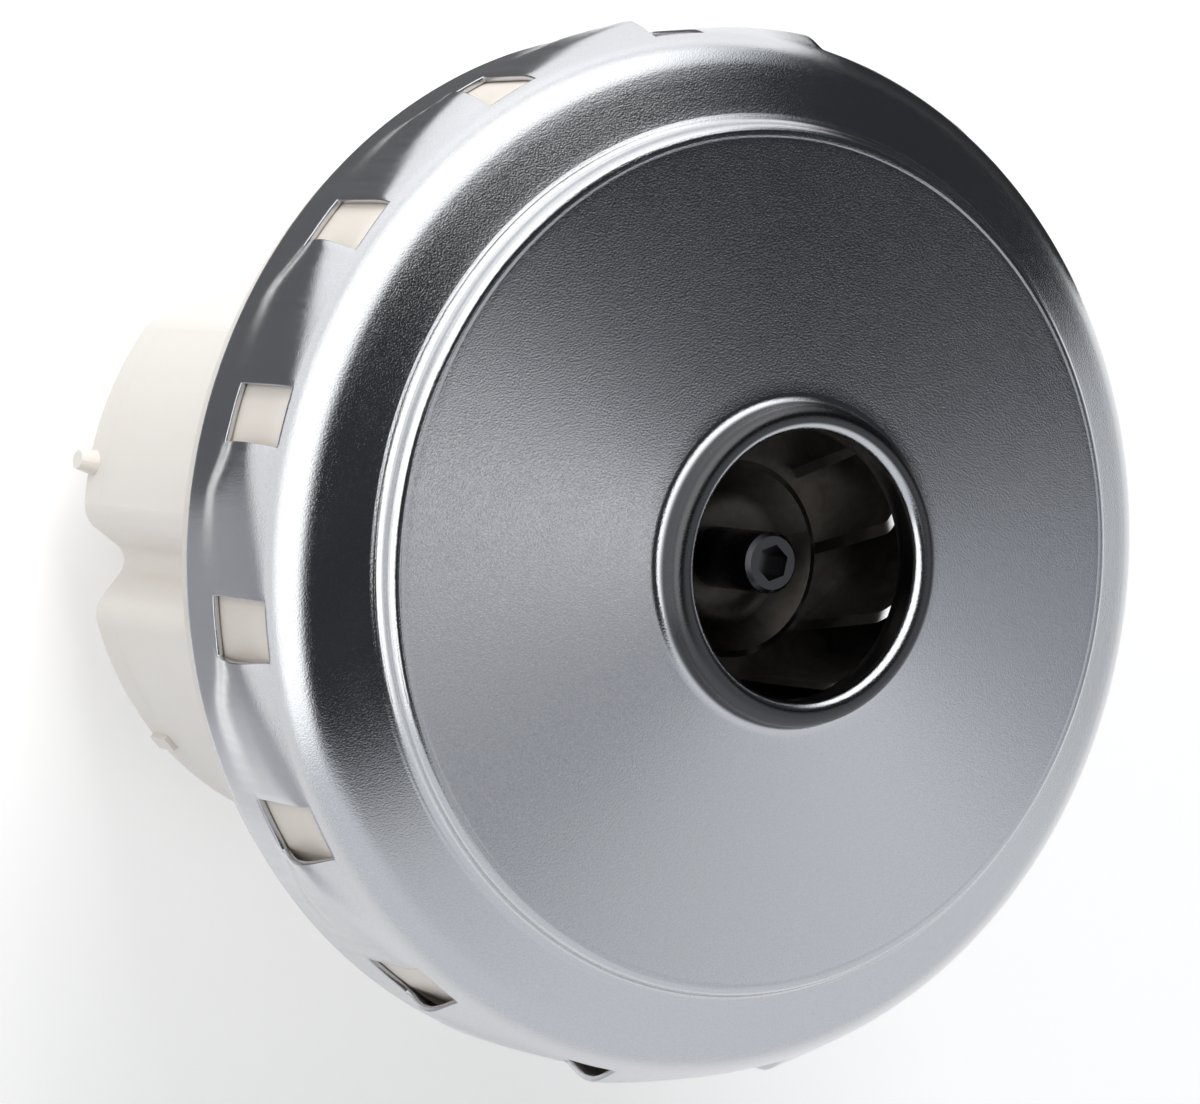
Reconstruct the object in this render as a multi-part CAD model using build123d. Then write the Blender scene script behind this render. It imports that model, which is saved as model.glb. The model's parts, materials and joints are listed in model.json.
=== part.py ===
from build123d import *
import math
import os

os.makedirs("parts", exist_ok=True)

# A bypass vacuum motor unit that stands on its rear cover with the air inlet on top.
# Z is the motor's axis and its zero is the rear face. Lengths are millimetres and angles
# are degrees, counter-clockwise as seen from the inlet.

# Driving dimensions of the whole unit
overall_height = 118.0
skirt_radius = 65.5
inlet_radius = 16.5
shaft_radius = 4.0
full_turn = 360.0
half_turn = 180.0
quarter_turn = 90.0

# Clearances
press_gap = 0.02
least = 1e-9
seat_gap = 0.2
running_gap = 0.5
overrun = 1.0

# Fan shell: one sheet of drawn steel
sheet = 0.8
shoulder_radius = 8.0
shoulder_rise = 15.8
annulus_slope = 25.0
annulus_width = 11.1
step_width = 1.7
step_rise = 2.5
step_foot_round = 0.9
step_crest_round = 1.1
cone_rise = 5.627
neck_round = 2.0
lip_height = 3.3
lip_width = 3.1
lip_round = 1.5
lip_turn_in = 4.5

# Windows of the fan shell and the scoops beside them
window_count = 16
window_pitch = full_turn / window_count
window_start = 9.1
window_angle = 6.4
window_low_rise = 6.7
window_high_rise = 18.4
scoop_height = 1.7
scoop_low_rise = 4.2
scoop_back_rise = 6.4
scoop_front_rise = 13.5
scoop_high_rise = 18.6

# Body of the motor: a round outline with two flats and two grooves
body_radius = 44.0
flat_depth = 7.5
flat_edge_round = 5.0
groove_angle = 170.3
groove_depth = 7.0
groove_half_width = 6.4
groove_floor_round = 2.5
groove_edge_round = 4.0

# Motor housing: collar, flange wall, tub and bearing cup
collar_inset = 1.5
collar_depth = 3.8
collar_wall = 3.0
collar_relief = 0.4
collar_relief_depth = 1.0
flange_rise = 5.0
flange_gap = 0.1
flange_wall = 2.5
housing_wall = 2.0
housing_low = 16.0
vent_width = 2.4
vent_height = 7.0
vent_count = 5
vent_pitch = 4.8
vent_drop = 0.8

# Rear cover: a shoulder that follows the body and a smaller round cap
shoulder_low = 10.5
shoulder_edge_round = 1.2
cap_inset = 11.0
cover_edge_round = 5.0
grille_count = 16
grille_inner = 11.0
grille_margin = 7.0
grille_width = 2.8
nub_radius = 1.9
nub_tip_radius = 1.3
nub_stand = 2.5
nub_height = 12.6
nub_angle = 152.3
rib_angle = 205.5
rib_width = 2.2
rib_depth = 0.7

# Screws that hold the rear cover and the rear bracket on the housing
cover_screw_inset = 5.1
cover_screw_angle = 28.0
cover_screw_radius = 1.75
cover_screw_length = 22.0
screw_head_radius = 3.0
screw_head_height = 2.2
screw_socket_depth = 1.2
screw_socket_width = 1.0
head_sink = 1.0
head_chamfer_share = 0.25
cover_boss_radius = 4.2
housing_boss_radius = 3.6
housing_boss_length = 20.0

# Rear bracket and rear bearing (6 x 19 x 6)
bracket_low = housing_low
bracket_thickness = 2.5
rear_journal_radius = 3.0
rear_bearing_radius = 9.5
rear_bearing_width = 6.0
rear_bearing_low = 11.5
damper_wall = 1.2
cup_wall = 1.6
bracket_window_inner_margin = 4.2
bracket_window_outer_margin = 5.0

# Front bearing (8 x 22 x 7) and its cup in the housing's front wall
front_bearing_radius = 11.0
front_bearing_width = 7.0
front_cup_floor = 2.0
front_cup_land = 9.2
wave_height = 0.6
wave_wire = 1.2
retainer_thickness = 1.0
retainer_radius = 20.0
retainer_bore = 8.6
retainer_screw_radius = 1.4
retainer_screw_ring_radius = 17.4
retainer_screw_length = 6.0
retainer_boss_radius = 3.2
retainer_screw_count = 3

# Parts of both bearings
ball_share_of_gap = 0.58
land_share_of_ball = 0.5
shield_thickness = 0.3
shield_inset = 0.25
ball_gap = 0.05
ball_count = 7
cage_wall = 1.0
cage_margin = 0.2

# Stator
stack_low = 41.0
stack_drop = 9.7
stator_inset = 3.2
armature_share_of_body = 21.0 / 44.0
air_gap = 0.5
pole_neck_share_of_armature = 13.5 / 21.0
pole_shoe_depth = 3.4
pole_shoe_angle = 104.0
cavity_inset = 11.0
cavity_inset_at_flat = 11.2
end_plate = 0.8
end_plate_inset = 0.5
stator_screw_radius = 1.6
stator_screw_share_of_body = 20.0 / 44.0
stator_screw_bite = 6.4
seat_rib_width = 8.0
seat_rib_reach = 9.5
coil_gap = 0.35
coil_side_room = 3.65
coil_back_room = 1.75
coil_end_gap = 0.5
coil_round = 1.2

# Rotor core, winding and commutator
slot_count = 12
slot_inner_share_of_armature = 0.5
slot_lip = 2.2
slot_inner_half = 1.6
slot_outer_half = 3.2
slot_mouth = 1.8
slot_liner = 0.2
winding_inner_share_of_armature = 7.0 / 21.0
winding_inset = 1.4
winding_end = 7.2
winding_round = 2.6
commutator_low = 19.2
commutator_length = 11.8
commutator_radius = 11.0
commutator_core_radius = 8.6
riser_radius = 12.6
riser_length = 2.0
bar_count = 24
bar_gap = 0.5
core_overhang = 0.4

# Brush gear, one set on each side of the axis
brush_width = 7.0
brush_height = 10.0
brush_share_of_sleeve = 13.0 / 23.35
brush_touch_gap = 0.05
brush_gap = 0.1
brush_low = 20.1
brush_travel = 6.0
brush_bevel = 0.8
sleeve_sheet = 0.6
sleeve_start = 13.4
sleeve_end_room = 9.6
spring_wire = 0.5
spring_radius = 2.7
spring_turns = 7
spring_arcs = 4
carrier_start = 15.0
carrier_end_room = 10.0
carrier_half = 7.4
carrier_cheek = 4.5
carrier_screw_room = 19.5
carrier_screw_y = 10.6
carrier_foot = 3.0
carrier_ear_radius = 2.9
carrier_screw_radius = 1.2
carrier_head_radius = 2.3
carrier_head_height = 1.6

# Terminal block through the flat towards -Y
terminal_width = 15.0
terminal_height = 9.0
terminal_low = 24.0
terminal_inside = 5.5
terminal_outside = 3.0
terminal_flange = 1.6
tab_width = 6.3
tab_thickness = 0.8
tab_reach = 9.0
tab_tail = 2.0
tab_offset = 3.9
tab_hole = 0.9
tab_chamfer_share = 0.2

# Cooling fan behind the rear bracket
fan_gap = 4.0
fan_plate = 1.2
fan_plate_low = 8.8
fan_blade_low = 3.8
fan_hub_radius = 8.0
fan_blade_inner = 12.0
fan_blade_thickness = 1.2
fan_blade_count = 11
fan_blade_sweep = 30.0
fan_blade_middle_share = 0.62
fan_neck_radius = 4.4
shaft_low = 3.2

# Guide plate between the housing and the fan shell
guide_plate_thickness = 1.5
deck_rise = 13.1
deck_thickness = 2.0
guide_wall = 1.6
guide_channel = 12.5
guide_vane = 1.2
guide_vane_mid_inset = 4.5
guide_vane_mid_turn = 22.5
guide_vane_turn = 46.0
guide_vane_lead = 1.0
guide_vane_top_rise = 21.5
guide_hub_wall = 2.0
guide_hub_bore = 12.0
guide_rib_count = 6
guide_rib = 1.6
seal_lip = 0.6
seal_height = 3.5
seal_ledge = 1.2

# Impeller
impeller_gap = 3.0
disc_thickness = 1.0
disc_top_rise = 15.7
shroud_sheet = 0.8
rim_rise = 25.3
eye_radius = 18.2
eye_foot_rise = 31.2
eye_top_rise = 32.6
eye_round = 1.5
vane_count = 10
vane_sheet = 0.7
vane_angle = 28.5
vane_foot_radius = 16.4
vane_corner_radius = 18.4
vane_top_radius = 22.5
vane_corner_round = 2.5
vane_arcs = 3
vane_first_angle = 21.0
nose_radius = 2.5
rear_washer_radius = 11.0
rear_washer_thickness = 1.0
dish_floor = 2.0
dish_floor_radius = 7.0
dish_foot_radius = 9.4
dish_rim_radius = 12.3
dish_rim_rise = 6.0
dish_rim = 0.9
dish_round = 5.0
nut_radius = 3.8
nut_height = 11.9
nut_chamfer = 0.5
nut_socket_flats = 4.0
nut_socket_depth = 2.5
nut_socket_sides = 6
nut_floor = 1.2
sleeve_wall = 2.5


# Small helpers

def polar(radius, angle):
    """a point of the plan at a radius and an angle"""
    return (radius * math.cos(math.radians(angle)), radius * math.sin(math.radians(angle)))


def ring(outer, inner, low, high):
    """a plain ring about the axis between two heights"""
    return extrude(Plane.XY.offset(low) * (Circle(outer) - Circle(inner)), high - low)


def disc(radius, low, high):
    """a plain round disc on the axis between two heights"""
    return extrude(Plane.XY.offset(low) * Circle(radius), high - low)


def turned(points):
    """a body turned about the axis from a closed outline of radius and height"""
    return revolve(Plane.XZ * make_face(Polyline(*points, close=True)), Axis.Z)


def around(shape, count, start=0.0):
    """copies of a shape at equal angles about the axis"""
    return [Rot(0, 0, start + k * full_turn / count) * shape for k in range(count)]


def rod(radius, x, y, low, high):
    """a round bar along Z at a place of the plan"""
    return extrude(Plane.XY.offset(low) * Pos(x, y) * Circle(radius), high - low)


def block(x_range, y_range, z_range):
    """a box between the given limits"""
    size = [high - low for low, high in (x_range, y_range, z_range)]
    middle = [(high + low) / 2 for low, high in (x_range, y_range, z_range)]
    return Pos(*middle) * Box(*size)


def group(shapes):
    """several separate solids kept as one node"""
    return Compound(children=[solid for shape in shapes for solid in shape.solids()])


# Fan shell

annulus_tan = math.tan(math.radians(annulus_slope))
annulus_cos = math.cos(math.radians(annulus_slope))
shoulder_tan = math.tan(math.radians((quarter_turn - annulus_slope) / 2))
corner_rise = shoulder_rise + shoulder_radius * shoulder_tan
crest_rise = corner_rise + annulus_width * annulus_tan + step_rise
neck_rise = crest_rise + cone_rise
turbine_height = neck_rise + lip_height
skirt_base = overall_height - turbine_height
step_foot_radius = skirt_radius - annulus_width
step_crest_radius = step_foot_radius - step_width
neck_radius = inlet_radius + lip_width
skirt_inner = skirt_radius - sheet


def annulus_height(radius, inset=0.0):
    """height of the sloped annulus at a radius, on a line drawn in by inset"""
    rise = corner_rise + (skirt_radius - radius) * annulus_tan
    return skirt_base + rise - inset / annulus_cos


def shell_line():
    """the outer face of the sheet in section, from the skirt's edge to the turned-in lip"""
    foot_height = annulus_height(step_foot_radius)
    points = [
        (skirt_radius, skirt_base),
        (skirt_radius, annulus_height(skirt_radius)),
        (step_foot_radius, foot_height),
        (step_crest_radius, foot_height + step_rise),
        (neck_radius, skirt_base + neck_rise),
        (neck_radius, overall_height),
        (inlet_radius, overall_height),
        (inlet_radius, overall_height - lip_turn_in),
    ]
    rounds = [shoulder_radius, step_foot_round, step_crest_round, neck_round, lip_round, lip_round]
    return FilletPolyline(*points, radius=rounds)


def spiral_strip(outer_start, outer_end, inner, start, span):
    """a plan strip between a spiral arc outside and a round arc inside"""
    middle = start + span / 2
    outer_middle = (outer_start + outer_end) / 2
    outside = ThreePointArc(
        polar(outer_start, start), polar(outer_middle, middle), polar(outer_end, start + span)
    )
    inside = ThreePointArc(polar(inner, start), polar(inner, middle), polar(inner, start + span))
    sides = [Line(outside @ 0, inside @ 0), Line(outside @ 1, inside @ 1)]
    return make_face([outside, inside, *sides])


def scoop(inset, inner):
    """the wedge of one scoop, drawn in by inset, down to an inner radius"""
    base = skirt_radius - inset
    start = window_start + window_angle
    strip = spiral_strip(base + scoop_height, base, inner, start, window_pitch - window_angle)
    low = skirt_base + scoop_low_rise
    high = skirt_base + scoop_high_rise
    wedge = extrude(Plane.XY.offset(low) * strip, high - low)
    facets = turned(
        [
            (inner - overrun, low),
            (base, low),
            (base + scoop_height, skirt_base + scoop_back_rise),
            (base + scoop_height, skirt_base + scoop_front_rise),
            (base, high),
            (inner - overrun, high),
        ]
    )
    return wedge & facets


def make_fan_shell():
    """the drawn shell with its windows and scoops"""
    section = make_face(offset(shell_line(), amount=sheet, side=Side.LEFT).edges())
    shell = revolve(Plane.XZ * section, Axis.Z)
    wedge = scoop(0.0, skirt_radius - sheet / 2)
    hollow = scoop(sheet, skirt_inner - overrun)
    window = spiral_strip(
        skirt_radius + scoop_height + overrun,
        skirt_radius + scoop_height + overrun,
        skirt_inner - overrun,
        window_start,
        window_angle,
    )
    low = skirt_base + window_low_rise
    window = extrude(Plane.XY.offset(low) * window, window_high_rise - window_low_rise)
    shell = shell + around(wedge, window_count)
    return shell - around(hollow, window_count) - around(window, window_count)


# Motor housing

body_flat = body_radius - flat_depth
groove_apex = body_radius - groove_depth
flange_low = skirt_base - collar_depth
flange_top = skirt_base + flange_rise
fit_radius = skirt_inner - flange_gap
collar_radius = skirt_radius - collar_inset
tub_top = flange_low + flange_wall / 2
tub_span = overall_height / 2
front_bearing_low = flange_low + front_cup_floor
front_bearing_high = front_bearing_low + front_bearing_width
front_cup_inner = front_bearing_radius + damper_wall
front_cup_outer = front_cup_inner + cup_wall
retainer_low = front_bearing_high + wave_height + seat_gap
stack_high = flange_low - stack_drop
stack_height = stack_high - stack_low
seat_rib_low = stack_high + end_plate
armature_radius = body_radius * armature_share_of_body
cavity_radius = body_radius - cavity_inset
cavity_half = body_flat - cavity_inset_at_flat
stator_screw_x = body_radius * stator_screw_share_of_body
stator_screw_y = (cavity_half + body_flat - stator_inset) / 2
stator_screw_length = stack_height + 2 * end_plate + stator_screw_bite
seat_rib_inner = body_flat - seat_rib_reach
cover_screw_ring_radius = body_radius - cover_screw_inset
screw_angles = [
    base + side * cover_screw_angle for base in (0.0, half_turn) for side in (-1, 1)
]
screw_places = [polar(cover_screw_ring_radius, angle) for angle in screw_angles]
stator_places = [(sx * stator_screw_x, sy * stator_screw_y) for sx in (-1, 1) for sy in (-1, 1)]
retainer_places = [
    polar(retainer_screw_ring_radius, k * full_turn / retainer_screw_count)
    for k in range(retainer_screw_count)
]


def outer_body_plan():
    """the outline of the body: round, with two flats and a groove at each end"""
    plan = Circle(body_radius) & Rectangle(2 * body_radius + overrun, 2 * body_flat)
    plan = fillet(plan.vertices().filter_by(lambda v: abs(v.Y) > body_flat - overrun), flat_edge_round)
    groove = make_face(
        Polyline(
            (groove_apex, 0),
            (body_radius + overrun, groove_mouth),
            (body_radius + overrun, -groove_mouth),
            close=True,
        )
    )
    for angle in (groove_angle, groove_angle + half_turn):
        plan -= Rot(0, 0, angle) * groove
        apex = polar(groove_apex, angle)
        floor = plan.vertices().sort_by_distance(Vector(*apex))[0]
        plan = fillet(floor, groove_floor_round)
        mouth = polar(body_radius, angle)
        edges = plan.vertices().sort_by_distance(Vector(*mouth))
        near = [v for v in edges if abs(Vector(v.X, v.Y).length - body_radius) < press_gap][:2]
        plan = fillet(near, groove_edge_round)
    return plan


groove_mouth = groove_half_width * (body_radius + overrun - groove_apex) / (body_radius - groove_apex)
body_outline = outer_body_plan()


def body_plan(inset):
    """the outline of the body drawn in by inset"""
    return offset(body_outline, amount=-inset) if inset else body_outline


def make_motor_housing():
    """the moulding that carries the stator, the front bearing and the turbine"""
    tub = extrude(Plane.XY.offset(housing_low) * body_plan(0.0), tub_top - housing_low)
    hollow = extrude(
        Plane.XY.offset(housing_low - overrun) * body_plan(housing_wall),
        flange_low - housing_low + overrun,
    )
    body = tub - hollow
    collar_inner = collar_radius - collar_wall
    collar_top = skirt_base - collar_relief
    body += disc(collar_radius, flange_low, flange_low + flange_wall)
    body += ring(collar_radius, collar_inner, flange_low, collar_top)
    body += ring(collar_radius - collar_relief_depth, collar_inner, collar_top, skirt_base)
    body += ring(fit_radius, collar_inner, skirt_base, flange_top)
    cup_low = flange_low - overrun
    body += ring(front_cup_outer, front_cup_inner, cup_low, retainer_low - seat_gap)
    body += disc(front_cup_outer, cup_low, front_bearing_low)
    body += [
        rod(retainer_boss_radius, x, y, flange_low, retainer_low) for x, y in retainer_places
    ]
    for x, y in stator_places:
        wall = math.copysign(body_flat - housing_wall / 2, y)
        inner = math.copysign(seat_rib_inner, y)
        body += block(
            (x - seat_rib_width / 2, x + seat_rib_width / 2),
            sorted((inner, wall)),
            (seat_rib_low, flange_low + flange_wall / 2),
        )
    boss_low = bracket_low + bracket_thickness
    inside = extrude(
        Plane.XY.offset(housing_low) * body_plan(housing_wall / 2), flange_low - housing_low
    )
    for x, y in screw_places:
        boss = rod(housing_boss_radius, x, y, boss_low, boss_low + housing_boss_length)
        body += boss & inside
    return body - housing_cuts()


def housing_cuts():
    """holes of the housing: bearing, shaft, screws, vents and the terminal opening"""
    cuts = [disc(front_cup_inner, front_bearing_low, retainer_low + overrun)]
    cuts.append(disc(front_cup_land, flange_low - front_cup_floor, front_bearing_low + overrun))
    for x, y in retainer_places:
        cuts.append(rod(retainer_screw_radius, x, y, retainer_low - retainer_screw_length, retainer_low))
    for x, y in screw_places:
        low = bracket_low + bracket_thickness - overrun
        high = bracket_low + cover_screw_length
        cuts.append(rod(cover_screw_radius, x, y, low, high))
    for x, y in stator_places:
        top = stack_low - end_plate + stator_screw_length
        cuts.append(rod(stator_screw_radius, x, y, seat_rib_low - overrun, top))
    cuts.append(terminal_box(press_gap))
    vent_high = flange_low - vent_drop
    for k in range(vent_count):
        x = (k - (vent_count - 1) / 2) * vent_pitch
        middle = vent_high - vent_height / 2
        slot = Plane.XZ * Pos(x, middle) * SlotOverall(vent_height, vent_width, rotation=quarter_turn)
        cuts.append(extrude(slot, body_radius, both=True))
    return cuts


# Rear cover

cap_radius = body_radius - cap_inset
grille_outer = cap_radius - grille_margin


def screw(radius, length, x, y, seat):
    """a pan-head screw pointing up, its head under the seat, with a cross socket"""
    shank = rod(radius, x, y, seat, seat + length)
    head = rod(screw_head_radius, x, y, seat - screw_head_height, seat)
    head = chamfer(head.faces().sort_by(Axis.Z)[0].edges(), screw_head_height * head_chamfer_share)
    slot_floor = seat - screw_head_height + screw_socket_depth
    slots = [
        block(
            (x - a / 2, x + a / 2),
            (y - b / 2, y + b / 2),
            (seat - screw_head_height - overrun, slot_floor),
        )
        for a, b in (
            (screw_head_radius, screw_socket_width),
            (screw_socket_width, screw_head_radius),
        )
    ]
    return shank + head - slots


def make_rear_cover():
    """the end cap over the cooling fan, with the intake grille in its floor"""
    cover = extrude(Plane.XY.offset(shoulder_low) * body_plan(0.0), housing_low - shoulder_low)
    cover = fillet(cover.faces().sort_by(Axis.Z)[0].edges(), shoulder_edge_round)
    cap = disc(cap_radius, 0.0, shoulder_low + housing_wall)
    cover += fillet(cap.faces().sort_by(Axis.Z)[0].edges(), cover_edge_round)
    shoulder_top = shoulder_low + housing_wall
    cover -= extrude(Plane.XY.offset(shoulder_top) * body_plan(housing_wall), housing_low)
    room = disc(cap_radius - housing_wall, housing_wall, housing_low)
    cover -= fillet(room.faces().sort_by(Axis.Z)[0].edges(), cover_edge_round - housing_wall)
    inside = extrude(body_plan(housing_wall / 2), housing_low)
    head_seat = shoulder_low + head_sink
    for x, y in screw_places:
        boss = rod(cover_boss_radius, x, y, shoulder_low + housing_wall / 2, bracket_low)
        cover += boss & inside
    for x, y in screw_places:
        cover -= rod(screw_head_radius + seat_gap, x, y, 0.0, head_seat)
        cover -= rod(cover_screw_radius + seat_gap, x, y, 0.0, bracket_low + overrun)
    slot_length = grille_outer - grille_inner
    slot = extrude(
        Pos((grille_inner + grille_outer) / 2, 0) * SlotOverall(slot_length, grille_width),
        housing_wall + overrun,
    )
    cover -= around(Pos(0, 0, -overrun / 2) * slot, grille_count)
    cover += make_nub()
    cover += make_side_rib()
    return cover


def make_nub():
    """the small tapered peg on the side of the body"""
    start = Plane(
        origin=(*polar(body_radius - housing_wall / 2, nub_angle), nub_height),
        x_dir=(0, 0, 1),
        z_dir=(*polar(1, nub_angle), 0),
    )
    low_end = (Align.CENTER, Align.CENTER, Align.MIN)
    return start * Cone(nub_radius, nub_tip_radius, nub_stand + housing_wall / 2, align=low_end)


def make_side_rib():
    """the low rib along the side of the body"""
    rib = block(
        (body_radius - housing_wall / 2, body_radius + rib_depth),
        (-rib_width / 2, rib_width / 2),
        (shoulder_low + shoulder_edge_round, housing_low),
    )
    return Rot(0, 0, rib_angle) * rib


# Rear bracket

rear_cup_inner = rear_bearing_radius + damper_wall
rear_cup_outer = rear_cup_inner + cup_wall
rear_bearing_high = rear_bearing_low + rear_bearing_width
bracket_high = bracket_low + bracket_thickness
window_inner_side = rear_cup_outer + bracket_window_inner_margin
window_outer_side = body_flat - bracket_window_outer_margin
bracket_window_radius = (window_outer_side - window_inner_side) / 2
bracket_window_offset = (window_outer_side + window_inner_side) / 2
carrier_screw_x = body_radius - carrier_screw_room


def make_rear_bracket():
    """the plate across the tub that carries the rear bearing and the brush gear"""
    outline = body_plan(housing_wall + seat_gap)
    plate = extrude(Plane.XY.offset(bracket_low) * outline, bracket_thickness)
    plate += disc(rear_cup_outer, rear_bearing_low, bracket_high)
    plate -= disc(rear_cup_inner, rear_bearing_low - overrun, rear_bearing_high)
    plate -= disc(rear_bearing_radius - cup_wall, rear_bearing_low, bracket_high + overrun)
    holes = []
    for side in (-1, 1):
        y = side * bracket_window_offset
        holes.append(rod(bracket_window_radius, 0, y, bracket_low - overrun, bracket_high + overrun))
    for x, y in screw_places:
        hole = rod(cover_screw_radius + seat_gap, x, y, bracket_low - overrun, bracket_high + overrun)
        holes.append(hole)
    for x, y in carrier_places:
        holes.append(rod(carrier_screw_radius, x, y, bracket_low - overrun, bracket_high + overrun))
    return plate - holes


carrier_places = [(sx * carrier_screw_x, sy * carrier_screw_y) for sx in (-1, 1) for sy in (-1, 1)]


# Ball bearings

def bearing(bore, outside, width, low):
    """the pieces of one shielded ball bearing, standing at a height"""
    gap = outside - bore
    pitch = (outside + bore) / 2
    ball = gap * ball_share_of_gap / 2
    land = ball * land_share_of_ball
    middle = low + width / 2
    inner = ring(pitch - land, bore + press_gap, low, low + width)
    outer = ring(outside, pitch + land, low, low + width)
    groove = revolve(Plane.XZ * Pos(pitch, middle) * Circle(ball + ball_gap), Axis.Z)
    shield_inner = pitch - land + running_gap / 2
    shield_outer = pitch + land
    shields = [
        ring(shield_outer, shield_inner, low + shield_inset, low + shield_inset + shield_thickness),
        ring(
            shield_outer,
            shield_inner,
            low + width - shield_inset - shield_thickness,
            low + width - shield_inset,
        ),
    ]
    first = full_turn / ball_count / 2
    balls = around(Pos(pitch, 0, middle) * Sphere(ball), ball_count, first)
    pocket = extrude(
        Plane.YZ.offset(pitch - cage_wall) * Pos(0, middle) * Circle(ball + ball_gap), 2 * cage_wall
    )
    pockets = around(pocket, ball_count, first)
    cage_half = width / 2 - shield_inset - shield_thickness - cage_margin
    cage = ring(pitch + cage_wall / 2, pitch - cage_wall / 2, middle - cage_half, middle + cage_half)
    return {
        "outer": outer - groove,
        "inner": inner - groove,
        "balls": group(balls),
        "cage": cage - pockets,
        "shields": group(shields),
    }


# Stator

bore_radius = armature_radius + air_gap
pole_neck_half = armature_radius * pole_neck_share_of_armature
coil_inner = bore_radius + pole_shoe_depth + coil_gap
coil_depth = cavity_radius - coil_back_room - coil_inner
coil_width = cavity_half - coil_side_room - pole_neck_half - coil_gap


def stator_plan(inset):
    """one lamination of the stator, its poles along X"""
    cavity = Circle(cavity_radius + inset) & Rectangle(
        2 * cavity_radius + 2 * overrun, 2 * (cavity_half + inset)
    )
    neck = Rectangle(2 * cavity_radius + 2 * overrun, 2 * (pole_neck_half - inset))
    side = polar(2 * cavity_radius, pole_shoe_angle / 2)
    wedge = make_face(Polyline((0, 0), side, (side[0], -side[1]), close=True))
    wedge += Rot(0, 0, half_turn) * wedge
    shoes = Circle(bore_radius + pole_shoe_depth - inset) & wedge
    plan = body_plan(stator_inset + inset) - (cavity - neck - shoes)
    plan -= Circle(bore_radius + inset)
    return plan - [Pos(x, y) * Circle(stator_screw_radius + seat_gap) for x, y in stator_places]


def make_stator_core():
    """the stack of laminations"""
    return extrude(Plane.XY.offset(stack_low) * stator_plan(0.0), stack_height)


def make_end_insulation():
    """an insulating plate on each end of the stack"""
    plan = stator_plan(end_plate_inset)
    low = extrude(Plane.XY.offset(stack_low - end_plate) * plan, end_plate)
    high = extrude(Plane.XY.offset(stack_high) * plan, end_plate)
    return group([low, high])


def make_field_coil():
    """the saddle-shaped coil round the pole towards +X"""
    inner_half = pole_neck_half + coil_gap
    outer_half = inner_half + coil_width
    inner_rise = stack_height / 2 + end_plate + coil_end_gap
    outer_rise = inner_rise + coil_width
    loop = RectangleRounded(2 * outer_half, 2 * outer_rise, coil_width)
    loop -= RectangleRounded(2 * inner_half, 2 * inner_rise, coil_round)
    middle = stack_low + stack_height / 2
    prism = extrude(Plane.YZ * Pos(0, middle) * loop, body_radius)
    low = middle - outer_rise - overrun
    high = middle + outer_rise + overrun
    return prism & ring(coil_inner + coil_depth, coil_inner, low, high)


# Rotor

nut_top = skirt_base + disc_top_rise + dish_floor + nut_height
shaft_top = nut_top - nut_socket_depth - nut_floor
disc_top = skirt_base + disc_top_rise
disc_low = disc_top - disc_thickness
nose_start = disc_low - rear_washer_thickness
slot_inner = armature_radius * slot_inner_share_of_armature
slot_outer = armature_radius - slot_lip
winding_inner = armature_radius * winding_inner_share_of_armature
winding_outer = armature_radius - winding_inset


def make_shaft():
    """the stepped shaft: rear journal, body and threaded nose"""
    journal = disc(rear_journal_radius, shaft_low, rear_bearing_high + seat_gap)
    body = disc(shaft_radius, rear_bearing_high + seat_gap, nose_start)
    nose = disc(nose_radius, nose_start, shaft_top)
    nose = chamfer(nose.faces().sort_by(Axis.Z)[-1].edges(), nut_chamfer)
    return journal + body + nose


def slot_plan(inset):
    """one winding slot of the armature, drawn in by inset"""
    half_low = slot_inner_half - inset
    half_high = slot_outer_half - inset
    low = slot_inner + inset
    high = slot_outer - inset
    return make_face(
        Polyline((low, -half_low), (high, -half_high), (high, half_high), (low, half_low), close=True)
    )


def make_armature_core():
    """the slotted stack of the rotor"""
    mouth = Pos((slot_outer + armature_radius) / 2, 0) * Rectangle(
        armature_radius - slot_outer + overrun, slot_mouth
    )
    plan = Circle(armature_radius) - Circle(shaft_radius + press_gap)
    plan = plan - around(slot_plan(0.0), slot_count) - around(mouth, slot_count)
    return extrude(Plane.XY.offset(stack_low) * plan, stack_height)


def make_armature_winding():
    """slot bundles joined by the wound heads at both ends of the stack"""
    heads = []
    for low, high in (
        (stack_low - winding_end, stack_low - seat_gap),
        (stack_high + seat_gap, stack_high + winding_end),
    ):
        section = RectangleRounded(winding_outer - winding_inner, high - low, winding_round)
        place = Pos((winding_outer + winding_inner) / 2, (high + low) / 2)
        heads.append(revolve(Plane.XZ * place * section, Axis.Z))
    bundle = extrude(
        Plane.XY.offset(stack_low - winding_end / 2) * slot_plan(slot_liner),
        stack_height + winding_end,
    )
    winding = heads[0] + around(bundle, slot_count)
    return winding + heads[1]


def make_commutator_core():
    """the moulded hub under the commutator's bars"""
    high = commutator_low + commutator_length + riser_length
    return ring(
        commutator_core_radius - press_gap,
        shaft_radius + press_gap,
        commutator_low - core_overhang,
        high + core_overhang / 2,
    )


def make_commutator_bars():
    """the ring of separate bars with their risers"""
    top = commutator_low + commutator_length
    bars = turned(
        [
            (commutator_core_radius, commutator_low),
            (commutator_radius, commutator_low),
            (commutator_radius, top),
            (riser_radius, top),
            (riser_radius, top + riser_length),
            (commutator_core_radius, top + riser_length),
        ]
    )
    cut = block(
        (commutator_core_radius / 2, riser_radius + overrun),
        (-bar_gap / 2, bar_gap / 2),
        (commutator_low - overrun, top + riser_length + overrun),
    )
    return group([bars - around(cut, bar_count)])


# Brush gear: the set towards +X, and its mirror image

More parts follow.
